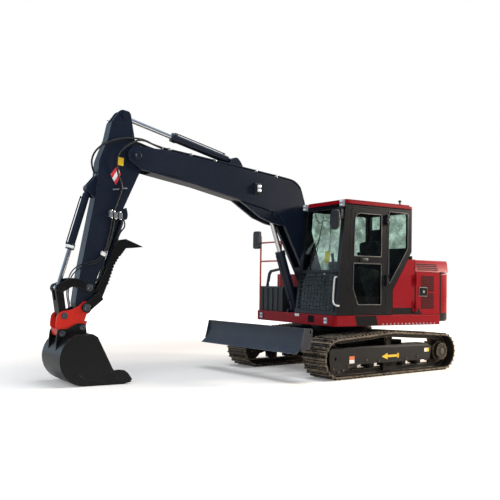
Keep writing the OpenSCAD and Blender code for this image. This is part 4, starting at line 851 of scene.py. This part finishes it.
door_seals = [
    seal([(0.115, 1.700, 0.02), (0.640, 1.700, 0.02), (0.625, 2.320, 0.11),
          (0.115, 2.320, 0.02)], SEAL_Y),
    seal([(0.115, 1.010, 0.02), (0.560, 1.010, 0.02), (0.650, 1.230, 0.04), (0.645, 1.606, 0.02),
          (0.115, 1.606, 0.02)], SEAL_Y)]
add("door_seals", door_seals, "cab_door", RUBBER)
side_seal = seal([(-0.070, 1.340, 0.01), (-0.020, 1.310, 0.02), (-0.020, 2.380, 0.02),
                  (-0.410, 2.380, 0.04), (-0.410, 1.840, 0.01)], SEAL_Y)
add("side_seal", [side_seal], "upper", RUBBER)
pull = [block((0.150, 0.050, 0.015), (0.445, 1.030, 1.655), BACK, 0.010),
        block((0.110, 0.022, 0.008), (0.445, 1.040, 1.657), BACK, 0.018)]
add("door_pull", pull, "cab_door", PLASTIC)
print("seals and handle")

# %% [markdown]
# ## Louvres and latches
# The service doors breathe through pressed louvres and close with a latch in a dish. Holes could
# be cut, but nothing shows behind them. Dark bars on the face are painted shade for the openings,
# and the solid door stays whole.

# %% Panel slots and latches
# Near-black paint: own colour of latch, bands and stub; painted shade in slots, gap and recess.
BLACK_AND_SHADE = paint("black_and_painted_shade", (0.006, 0.006, 0.0065), 0.7, grain=0.1, dust=0.0, specular=0.1)
SLOT_ROWS = np.concatenate([0.964 + 0.030 * np.arange(8), 1.224 + 0.030 * np.arange(8)])
HOOD_ROWS = np.linspace(0.22, 0.84, 4)
SLOT_X, LATCH_X, LATCH_Z, HOOD_X, HOOD_FOOT = -0.8295, -0.7375, 1.208, -0.85, 1.5112
HOOD_IN, HOOD_RISE = 0.060, 0.134
for side, face, ex, name in ((1, 1.030, BACK, "left"), (-1, -1.000, FRONT, "right")):
    door, axis = "service_door_" + name, (0, side, 0)
    # Painted shade: dark bars stand for the louvre openings, on the doors and on the hood.
    slots = [block((0.268, 0.0205), (SLOT_X, face + side * LIFT, z), ex, 0.0015)
             for z in SLOT_ROWS]
    add("panel_slots_" + name, slots, door, BLACK_AND_SHADE, smooth=False)
    rim, dish, boss = [
        block((w, h, r), (LATCH_X, face + side * lift, LATCH_Z), ex, thick)
        for w, h, r, lift, thick in ((0.178, 0.140, 0.022, LIFT, 0.0047),
                                     (0.160, 0.122, 0.016, 0.0050, 0.0060),
                                     (0.104, 0.080, 0.012, 0.0110, 0.0027))]
    add("panel_latch_" + name, [dish, boss], door, BLACK_AND_SHADE, smooth=False)
    add("panel_latch_rim_" + name, [rim], door, STEEL, smooth=False)
    lock = turned_form(CAP * 0.017, [(LATCH_X, face + side * 0.0138, LATCH_Z)], axis, 20)
    add("panel_lock_" + name, [lock], door, STEEL)
    lean = (0, -side * 0.408, 0.913)
    places = [(HOOD_X, face + side * (LIFT - HOOD_IN * t), HOOD_FOOT + HOOD_RISE * t)
              for t in HOOD_ROWS]
    slots = [block((0.44, 0.017), place, ex, 0.001, lean) for place in places]
    add("hood_slots_" + name, slots, "hood", BLACK_AND_SHADE, smooth=False)
print("louvres and latches")

# %% [markdown]
# ## Bands, recess and skirt bolts
# Dark bands part the red sides, and bolts hold the skirt. A thin dark strip in the gap beside
# the service door and a dark sheet in the bumper's recess are painted shade. The bands could be a
# mask in the paint. As sheets they can be taken off without a change to the paint.

# %% Bands, sticker and bolts
SIDE_Y, BUMPER_X, BOLT_Z = 1.0303, 0.9723, 0.732


def rectangle(a0, a1, b0, b1):
    """Corners (a, b) of a rectangle, around its rim."""
    return np.array([(a0, b0), (a1, b0), (a1, b1), (a0, b1)])


# The bands are the sides' own dark paint; the thin strip beside the service door is painted shade
# for the gap.
for name, outline, body in (
        ("skirt_band", [(0.566, 0.716), (0.168, 0.716), (0.205, 0.856), (0.603, 0.856)], "upper"),
        ("panel_band", rectangle(-0.122, -0.556, 0.872, 0.968), "upper"),
        ("panel_gap_shade", rectangle(-0.5565, -0.5685, 0.872, 1.660), "upper"),
        ("door_band", [(-0.590, 0.872), (-0.716, 0.872), (-0.640, 0.966), (-0.590, 0.966)],
         "service_door_left")):
    label(name, in_lane(outline, SIDE_Y), body, BLACK_AND_SHADE)
# Painted shade: the dark sheet in the bumper stands for its recess; the white sheet is a sticker.
for name, outline, material in (
        ("bumper_recess_shade", rectangle(0.422, 0.567, 0.745, 0.844), BLACK_AND_SHADE),
        ("bumper_sticker", rectangle(0.091, 0.201, 0.818, 0.856), WHITE)):
    label(name, np.insert(outline, 0, BUMPER_X, axis=1), "upper", material)
BOLT = np.array([(0, 0), (0.64, 0), (0.64, 0.07), (0.5, 0.08), (0.5, 0.36), (0.42, 0.42),
                 (0, 0.42)])
bolt_row = [(x, BOLT_Z) for x in np.arange(-0.98, 0.12, 0.075)]
bolts = [turned_form(BOLT * 0.022, in_lane(bolt_row, y), axis, 6)
         for y, axis in ((1.0301, LEFT), (-1.0001, RIGHT))]
add("skirt_bolts", bolts, "upper", STEEL, smooth=False)
print("panels and skirt dressed")

# %% [markdown]
# ## Counterweight
# A casting, so its corners are round. A bevel would round all its edges alike. Here the plan, a
# part of a circle about the slew axis between two straight sides, is eased at its corners,
# carried upward, and pulled in along a quarter circle at its foot and top. The foot is painted
# black, and the edge behind the doors is painted shade, dark for the groove there.

# %% Form of the counterweight
TAIL_R, TAIL_FRONT, TAIL_SIDES, TAIL_LEVELS = 1.65, -1.1003, (1.010, -0.980), (0.754, 1.505)
EASE, FRONT_EASE, RIM = 0.115, 0.020, 0.032


def tail_loop():
    """The plan, counterclockwise: left side, circle about the axis, right side, eased corners."""
    left, right = TAIL_SIDES
    first, last = np.pi - np.arcsin(left / TAIL_R), np.pi - np.arcsin(right / TAIL_R)
    turn = np.linspace(first + EASE / TAIL_R, last - EASE / TAIL_R, 48)
    arc = TAIL_R * np.stack([np.cos(turn), np.sin(turn)], -1)
    b, c = (TAIL_R * np.cos(first), left), (TAIL_R * np.cos(last), right)
    inner = TAIL_FRONT - FRONT_EASE
    return np.concatenate([
        eased((TAIL_FRONT, left - FRONT_EASE), (TAIL_FRONT, left), (inner, left), 6),
        eased((b[0] + EASE, left), b, arc[0], 14)[:-1], arc,
        eased(arc[-1], c, (c[0] + EASE, right), 14)[1:],
        eased((inner, right), (TAIL_FRONT, right), (TAIL_FRONT, right + FRONT_EASE), 6)])


def carried_up(loop, low, high, rim):
    """The loop from low to high, drawn in along a quarter circle at both ends, and closed."""
    along = unit(np.roll(loop, -1, 0) - np.roll(loop, 1, 0))
    outward = np.stack([along[:, 1], -along[:, 0]], -1)
    t = np.linspace(0, np.pi / 2, 6)
    inset = np.concatenate([rim * (1 - np.sin(t)), rim * (1 - np.cos(t))])[:, None, None]
    level = np.concatenate([low + rim * (1 - np.cos(t)), high - rim * (1 - np.sin(t))])
    rows = loop - inset * outward
    height = np.broadcast_to(level[:, None, None], (len(level), len(loop), 1))
    rows = np.concatenate([rows, height], -1)
    ends = np.array([[*loop.mean(0), low], [*loop.mean(0), high]])[:, None]
    ends = ends * np.ones((1, len(loop), 1))
    return np.concatenate([ends[:1], rows, ends[1:]])


loop = tail_loop()
print("plan of the counterweight:", len(loop), "points")

# %% Paint of the counterweight
DARK_FOOT_Z, GROOVE_SHADE_X, DARK = 0.885, -1.150, (0.008, 0.008, 0.009)
CASTING = paint("casting_red", BODY_RED, **RED_LOOK)
tree = CASTING.node_tree
forward = dot(coords(tree), tuple(turned(FRONT)))
foot = math_node("LESS_THAN", upward(coords(tree)), DARK_FOOT_Z)
# Painted shade: the front strip of the casting, behind the doors, is darkened for the groove there.
edge = math_node("GREATER_THAN", forward, GROOVE_SHADE_X)
recolour(CASTING, math_node("MAXIMUM", foot, edge), BODY_RED, DARK)
casting = add("counterweight_casting", [carried_up(loop, *TAIL_LEVELS, RIM)], "upper", CASTING)
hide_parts("counterweight")
print("counterweight points", len(casting.data.vertices))

# %% [markdown]
# ## Lamps and mirrors
# A lamp face carries four small domes. The cab mirror is a rounded shell on a bent arm. The
# shell could be a bevelled box. The cushion's formula, with a larger power, is rounder.

# %% Lamps and mirrors
DOME = np.array([(1, 0), (0.92, 0.3), (0.7, 0.55), (0.4, 0.7), (0, 0.75)])
LAMPS = [(0.8447, 0.125, 2.440), (0.8447, 0.985, 2.440), (0.9865, -0.810, 0.7855),
         (0.9865, 0.840, 0.7855)]
FOUR = np.array([(0, -1, -1), (0, 1, -1), (0, -1, 1), (0, 1, 1)]) * (0, 0.016, 0.024)
LED = paint("led_dome", (0.72, 0.74, 0.76), 0.1, coat=0.5, grain=0.04, dust=0.0)
add("lamp_domes", [turned_form(DOME * 0.013, lamp + FOUR, FRONT) for lamp in LAMPS], "upper", LED)
boom_lamp = [block((0.105, 0.165, 0.012), (1.636, 0.0353, 2.673), BACK, 0.020),
             block((0.085, 0.130, 0.016), (1.636, 0.0553, 2.668), BACK, 0.034)]
add("boom_lamp", boom_lamp, "boom", PLASTIC)
lenses = [block((0.062, 0.044, 0.008), (1.636, 0.0894, z), BACK, 0.004)
          for z in (2.640, 2.697)]
add("boom_lamp_lens", lenses, "boom", LED)
shell = cushion((0.985, 1.030, 2.195), (0.028, 0.100, 0.128), power=0.6)
stalk = [(0.850, 0.985, 2.300), (0.900, 1.000, 2.330), (0.960, 1.020, 2.320),
         (0.982, 1.030, 2.270)]
add("cab_mirror", [shell] + tubes([stalk], 20, 0.011, 10), "upper", PLASTIC)
faces = [block((0.140, 0.190, 0.05), (0.9575, 1.030, 2.195), RIGHT, 0.002),
         block((0.140, 0.250, 0.03), (0.9298, -1.015, 1.9975), RIGHT, 0.002)]
add("mirror_faces", faces, "upper", MIRROR, smooth=False)
print("lamps and mirrors")

# %% [markdown]
# ## Highlight lines and roof fittings
# A thin bright line follows each side window, a painted highlight along the window's edge. A knob
# stands on the roof, a stub of the exhaust on the hood, and a cap on the tank. The line is the
# seal's own outline, drawn smaller, so that the two run side by side. The rest are lathe forms.

# %% Highlight lines, knob, stub and cap
HIGHLIGHT_LINE_Y = 1.0345
# Painted highlight: a pale line beside each window seal stands for the light caught on the window's
# edge.
HIGHLIGHT_LINE = paint("window_highlight_line", (0.34, 0.33, 0.31), 0.3, metallic=0.6, grain=0.1, dust=0.0)
door_highlight_line = [
    seal([(0.122, 1.707, 0.02), (0.633, 1.707, 0.02), (0.618, 2.313, 0.11),
          (0.122, 2.313, 0.02)], HIGHLIGHT_LINE_Y, 0.003),
    seal([(0.122, 1.017, 0.02), (0.555, 1.017, 0.02), (0.643, 1.232, 0.04), (0.638, 1.599, 0.02),
          (0.122, 1.599, 0.02)], HIGHLIGHT_LINE_Y, 0.0022)]
add("door_highlight_line", door_highlight_line, "cab_door", HIGHLIGHT_LINE)
side_highlight_line = seal([(-0.064, 1.352, 0.01), (-0.027, 1.322, 0.02), (-0.027, 2.373, 0.02),
                  (-0.403, 2.373, 0.04), (-0.403, 1.840, 0.01)], HIGHLIGHT_LINE_Y, 0.0026)
add("side_highlight_line", [side_highlight_line], "upper", HIGHLIGHT_LINE)
knob = [(0.030, 0), (0.030, 0.012), (0.014, 0.018), (0.012, 0.045), (0.024, 0.052),
        (0.026, 0.066), (0.016, 0.076), (0, 0.078)]
stub = [(0.052, 0), (0.052, 0.008), (0.040, 0.010), (0.040, 0.060), (0.034, 0.062),
        (0.034, 0.02), (0, 0.02)]
filler = [(0.060, 0), (0.060, 0.010), (0.052, 0.014), (0.052, 0.040), (0.044, 0.048), (0, 0.050)]
add("roof_knob", [turned_form(knob, [(-0.365, 0.900, 2.5022)], TOP)], "upper", PLASTIC)
add("exhaust_stub", [turned_form(stub, [(-0.700, 0.780, 1.6903)], TOP, 24)], "hood", BLACK_AND_SHADE)
add("filler_cap", [turned_form(filler, [(-0.300, -0.700, 1.4503)], TOP, 24)], "upper", PLASTIC)
print("trim and roof fittings")

# %% [markdown]
# ## Pins of the tool and pipes of the cylinders
# Each pin shows a round cap. A thin steel pipe runs along each barrel, from a fitting near its
# foot to one near its gland. It is drawn along the line between the cylinder's two eyes, so that
# it stays on the barrel when an eye is moved.

# %% Caps and cylinder pipes
TIP, FOOT = np.array([4.150, 0.950]), np.array([0.480, 1.200])
COMMON = TIP + [0.325, 0.240]
PIN = paint("pin_grey", (0.075, 0.080, 0.088), 0.35, metallic=0.6, grain=0.3, dust=0.02)
caps_on("arm_caps", "arm", PIN, (*TIP, 0.1642, 0.050), (*(TIP + [-0.040, 0.250]), 0.1285, 0.046))
caps_on("rocker_caps", "rocker", NAVY, (*COMMON, 0.1285, 0.040))
caps_on("tool_caps", "tool", PIN, (*(TIP + [0.300, -0.320]), 0.1672, 0.038),
        (*(TIP + [0.050, -0.250]), 0.1672, 0.038), (*(TIP + [0.270, -0.100]), 0.1362, 0.042))


def barrel_pipe(base, eye, radius, first, last, side):
    """A pipe out of a barrel's wall at the first station, along it, and back in at the last."""
    along = unit(eye - base)
    out = side * np.array([-along[1], along[0]])
    rows = [(first, -0.004), (first, 0.010), (first + 0.03, 0.018), (last - 0.03, 0.018),
            (last, 0.010), (last, -0.004)]
    line = [base + a * along + (radius + h) * out for a, h in rows]
    return tubes([in_lane(line, BOOM_Y)], 60, 0.008, 10)


clamp_label = in_lane([(3.981, 1.623), (3.921, 1.598), (3.902, 1.640), (3.962, 1.668)], 0.0303)
label("clamp_label", clamp_label, "arm", WHITE)
CYLINDERS = [
    ("boom_barrel", FOOT + [0.340, -0.300], FOOT + [0.835, 1.105], 0.066, 0.18, 0.86, -1),
    ("arm_barrel", FOOT + [1.505, 1.838], NOSE + [0.163, 0.512], 0.056, 0.18, 0.94, 1),
    ("bucket_barrel", NOSE + [0.600, -0.472], COMMON, 0.046, 0.15, 0.75, 1)]
for name, *sizes in CYLINDERS:
    add(name + "_pipe", barrel_pipe(*sizes), name, NAVY)
GLAND_AT, GLAND = 0.790, [(0, -0.018), (0.0560, -0.018), (0.0563, -0.017), (0.0563, 0.017),
                          (0.0560, 0.018), (0, 0.018)]
name, base, eye = CYLINDERS[-1][:3]
along = unit(eye - base)
band = turned_form(GLAND, in_lane([base + GLAND_AT * along], BOOM_Y), (along[0], 0, along[1]), 40)
add("gland_band", [band], name, WHITE)
seam = TIP + [(0.148, -0.803), (0.085, -0.855), (-0.016, -0.879), (-0.130, -0.886),
              (-0.194, -0.859), (-0.218, -0.824)]
bucket_seams = [in_lane(seam, y) for y in (0.2805, -0.4805)]
add("bucket_seams", tubes(bucket_seams, 40, SEAM_R, 8), "tool", BUCKET)
print("caps and pipes")

# %% [markdown]
# ## Shoe bolts
# Each shoe of a track is held by bolts. They could be copied by hand around the loop. Here the
# loop is six pieces, straight or round, measured by arc length, so that bolts stand at equal
# steps and face outward.

# %% Shoe bolts
SPROCKET, IDLER, CROWN = np.array([-1.170, 0.285]), np.array([1.140, 0.285]), np.array([0.0, 0.355])
PLATE_R, SHOES, TRACK_Y = 0.261, 42, 0.875
BOLT_LANES, BOLT_STEPS = (-0.120, -0.075, 0.075, 0.120), np.array([0.43, 0.59])
ahead, astern = IDLER - CROWN, SPROCKET - CROWN
front_slope, rear_slope = np.arctan2(-ahead[1], ahead[0]), np.arctan2(-astern[1], -astern[0])
starts = np.array([SPROCKET, IDLER, IDLER, CROWN, CROWN, SPROCKET])
down, fore, aft = -np.pi / 2, np.pi / 2 - front_slope, np.pi / 2 + rear_slope
angles = np.array([down, down, fore, fore, aft, aft])
turns = np.array([0, np.pi - front_slope, 0, front_slope + rear_slope, 0, np.pi - rear_slope])
straight = [IDLER[0] - SPROCKET[0], 0, np.hypot(*ahead), 0, np.hypot(*astern), 0]
lengths = np.where(turns > 0, turns * PLATE_R, straight)


def on_loop(s):
    """Points and outward directions at arc lengths s: start + along * tangent + radius * out."""
    ends = np.cumsum(lengths)
    k = np.minimum(np.searchsorted(ends, s), 5)
    rest = s - (ends - lengths)[k]
    a = angles[k] + np.where(turns[k] > 0, turns[k] * rest / lengths[k], 0)
    out = np.stack([np.cos(a), np.sin(a)], -1)
    tangent = np.stack([-np.sin(a), np.cos(a)], -1)
    return starts[k] + np.where(turns[k] > 0, 0, rest)[:, None] * tangent + PLATE_R * out, out


def loop_bolts(y, size):
    """Hexagon bolts on every shoe: profile turned about the outward direction of the loop."""
    s = (np.arange(SHOES)[:, None] + BOLT_STEPS).ravel() * lengths.sum() / SHOES
    p, out = on_loop(s)
    centre, ez = in_lane(p, y)[:, None, None], in_lane(out, 0.0)[:, None, None]
    ex = np.cross(ez, LEFT)
    v = round_angles(6)
    r, h = (NUT * size).T[:, None, :, None, None]
    return centre + r * (np.cos(v) * ex + np.sin(v) * np.array(LEFT)) + h * ez


def on_track(name, grids, material):
    """A piece with flat faces that stays with the undercarriage."""
    add(name, grids, "undercarriage", material, smooth=False, local=False)


print("track loop of", round(lengths.sum(), 3), "m")

# %% [markdown]
# ## Marks and bolts of the track frames
# Each track frame carries an arrow, blank stickers and bolts, each drive a ring of bolts. The
# two sides could be modelled apart. One loop makes both, so that they stay alike.

# %% Track bolts, frame marks, drive bolts
WORN = paint("worn_bolt", (0.10, 0.085, 0.065), 0.45, metallic=0.7, grain=0.4, dust=0.1)
FRAME_Y, DRIVE_Y, HUB_Y, ARROW_Z, MARK = 1.0533, 1.0502, 0.9802, 0.272, 0.001
HEAD = np.array([(0.115, -0.046), (0.238, 0.0), (0.115, 0.046)])
STICKERS = [("a", ORANGE, [(0.100, 0.046, 0.854, 0.285)]),
            ("b", WHITE, [(0.100, 0.050, 0.854, 0.234), (0.052, 0.056, -0.756, 0.325)]),
            ("c", YELLOW, [(0.052, 0.056, -0.812, 0.325)])]
FRAME_BOLTS = [(1.215, 0.150), (1.120, 0.105), (1.025, 0.125), (0.930, 0.165), (0.560, 0.240),
               (0.300, 0.215), (-0.300, 0.215), (-0.560, 0.240)]
around = np.linspace(0, 2 * np.pi, 12, endpoint=False)
circle = np.stack([np.cos(around), np.sin(around)], -1)
for side, name, ex in ((1, "left", BACK), (-1, "right", FRONT)):
    shoe_bolts = [loop_bolts(side * TRACK_Y + y, 0.026) for y in BOLT_LANES]
    on_track("shoe_bolts_" + name, shoe_bolts, WORN)
    face, axis = side * FRAME_Y, (0, side, 0)
    head = (HEAD * (-side, 1))[::-side]
    arrow = [plate(head, (0, face, ARROW_Z), ex, TOP, SHEET),
             block((0.215, 0.034), (0.012, face, ARROW_Z), ex, SHEET),
             block((0.030, 0.070), (-0.118, face, ARROW_Z), ex, SHEET)]
    on_track("frame_arrow_" + name, arrow, YELLOW)
    for letter, material, rows in STICKERS:
        sheets = [block((w, h), (x, face, z), ex, MARK) for w, h, x, z in rows]
        on_track("frame_sticker_" + letter + "_" + name, sheets, material)
    ring = in_lane(SPROCKET + 0.100 * circle, side * DRIVE_Y)
    hub = in_lane(SPROCKET + 0.138 * circle, side * HUB_Y)
    bolts = [turned_form(BOLT * size, places, axis, 6)
             for size, places in ((0.030, in_lane(FRAME_BOLTS, face)), (0.026, ring), (0.022, hub))]
    bolts += [turned_form(CAP * 0.045, in_lane([SPROCKET], side * DRIVE_Y), axis, 24)]
    on_track("frame_bolts_" + name, bolts, WORN)
print("undercarriage dressed")

# %% [markdown]
# ## Floor and sky
# A studio is a pale floor and a wide pale sky. A white picture behind the machine would leave it
# hanging. Here the camera sees a floor that glows more with distance, until it is as white as
# the sky. Reflections see another sky, with leaves and a warm light, as glass and paint need
# something to mirror.

# %% Floor
SPAN, NEAR, FAR, GLOW = 60.0, 3.5, 10.0, 0.16
line = np.linspace(-SPAN, SPAN, 9)
u, v = np.meshgrid(line, line, indexing="ij")
floor_material = paint("studio_floor", (0.66, 0.615, 0.575), 0.9, grain=0.01, dust=0.0, bump=0.0,
                       specular=0.0)
tree = floor_material.node_tree
plain = tree.nodes["Principled BSDF"].outputs[0]
reach = make(tree, "VectorMath", coords(tree), operation="LENGTH").outputs["Value"]
glow = make(tree, "Emission")
feed(glow.inputs["Strength"], plus(GLOW, ramp(reach, NEAR, FAR)))
bright = make(tree, "AddShader", plain, glow.outputs[0]).outputs[0]
seen = make(tree, "LightPath").outputs["Is Camera Ray"]
feed(tree.nodes["Material Output"].inputs["Surface"], mix_shader(seen, plain, bright))
floor_points = np.stack([u, v, np.zeros_like(u)], -1)
floor = piece("studio_floor", floor_points, grid_faces(9, 9), None, floor_material)
print("floor of", 2 * SPAN, "m")

# %% Sky
LEAVES_AT, WARM_AT = (0.43, -0.89, 0.15), (-0.86, -0.33, 0.38)
world = bpy.data.worlds.new("studio")
scene.world = world
world.use_nodes = True
tree = world.node_tree
tree.nodes.remove(tree.nodes["Background"])
around = coords(tree, "Generated")
above = mix_colour(ramp(upward(around), -0.05, 0.8),
                   (0.05, 0.055, 0.065, 1), (0.42, 0.55, 0.72, 1))
leaves = mix_colour(ramp(noise(tree, 7.0, 8.0, 0.7, "Generated"), 0.38, 0.66),
                    (0.35, 0.46, 0.52, 1), (1.5, 1.85, 2.2, 1))
behind = mix_colour(ramp(dot(around, LEAVES_AT), 0.88, 0.96), above, leaves)
warm = mix_colour(ramp(dot(around, WARM_AT), 0.84, 0.96), behind,
                  (2.6, 2.2, 1.7, 1))
lit = make(tree, "Background", (0.86, 0.92, 1.0, 1), 0.30).outputs[0]
mirrored = make(tree, "Background", warm, 1.0).outputs[0]
white = make(tree, "Background", (1, 1, 1, 1), 1.0).outputs[0]
path = make(tree, "LightPath").outputs
unseen = mix_shader(path["Is Glossy Ray"], lit, mirrored)
feed(tree.nodes["World Output"].inputs["Surface"],
     mix_shader(path["Is Camera Ray"], unseen, white))
print("sky:", world.name)

# %% [markdown]
# ## Lights
# A warm key and a warm rim stand behind the machine, a wide cool lamp above it and one in
# front. One small lamp would cut hard shadows. Square lamps give soft ones. Only the key shows
# in reflections, because the others would burn out the flat faces.

# %% Lights


def placed(obj, x, y, z, place):
    """Link an object into the scene, with its three axes and its place as its matrix."""
    scene.collection.objects.link(obj)
    matrix = np.eye(4)
    matrix[:3] = np.stack([x, y, z, place], -1)
    obj.matrix_world = Matrix(matrix.tolist())


def area_light(name, place, aim, size, power, colour, mirrored=False):
    """A square lamp at a place, turned so that its -Z axis points at aim."""
    data = bpy.data.lights.new(name, "AREA")
    data.size, data.energy, data.color = size, power, colour
    obj = bpy.data.objects.new(name, data)
    back = unit(np.subtract(place, aim))
    side = unit(np.cross(TOP, back))
    placed(obj, side, np.cross(back, side), back, place)
    obj.visible_glossy = mirrored


area_light("key", (-8.5, 5.2, 5.0), (0.3, 0.3, 0.9), 2.0, 1500, (1.0, 0.90, 0.76), mirrored=True)
area_light("rim", (-9.0, 2.2, 3.2), (-1.2, 0.6, 1.5), 1.5, 900, (1.0, 0.80, 0.56))
area_light("sky", (1.5, 1.0, 10.0), (1.5, 0.0, 0.0), 6.0, 850, (0.86, 0.93, 1.0))
area_light("front", (10.0, 3.0, 5.0), (1.5, 0, 1.4), 5.0, 420, (0.80, 0.90, 1.0))
print(len(bpy.data.lights), "lights")

# %% [markdown]
# ## Camera
# The camera is the one solved from the photograph: place, direction, roll, focal length and
# centre, all in pixels of a square picture. A camera set by eye would come close, but the
# outlines would not meet.

# %% Camera
PLACE = np.array([7.9077, 7.7681, 1.2886])
YAW, PITCH, ROLL = -2.2462, 0.0391, 0.0176
FOCAL, CENTRE, PICTURE, SENSOR = 695.16, (259.13, 256.37), 500, 36.0
ahead = np.array([np.cos(PITCH) * np.cos(YAW), np.cos(PITCH) * np.sin(YAW), np.sin(PITCH)])
right = unit(np.cross(ahead, TOP))
up = np.cross(right, ahead)
c, s = np.cos(ROLL), np.sin(ROLL)
right, up = c * right + s * up, -s * right + c * up
camera_data = bpy.data.cameras.new("camera")
camera_data.sensor_width = SENSOR
camera_data.lens = FOCAL / PICTURE * SENSOR
camera_data.shift_x = -(CENTRE[0] - PICTURE / 2) / PICTURE
camera_data.shift_y = (CENTRE[1] - PICTURE / 2) / PICTURE
camera_data.clip_end = 200
camera = bpy.data.objects.new("camera", camera_data)
placed(camera, right, up, -ahead, PLACE)
scene.camera = camera
scene.view_settings.view_transform = "Standard"
print("camera lens", camera_data.lens)
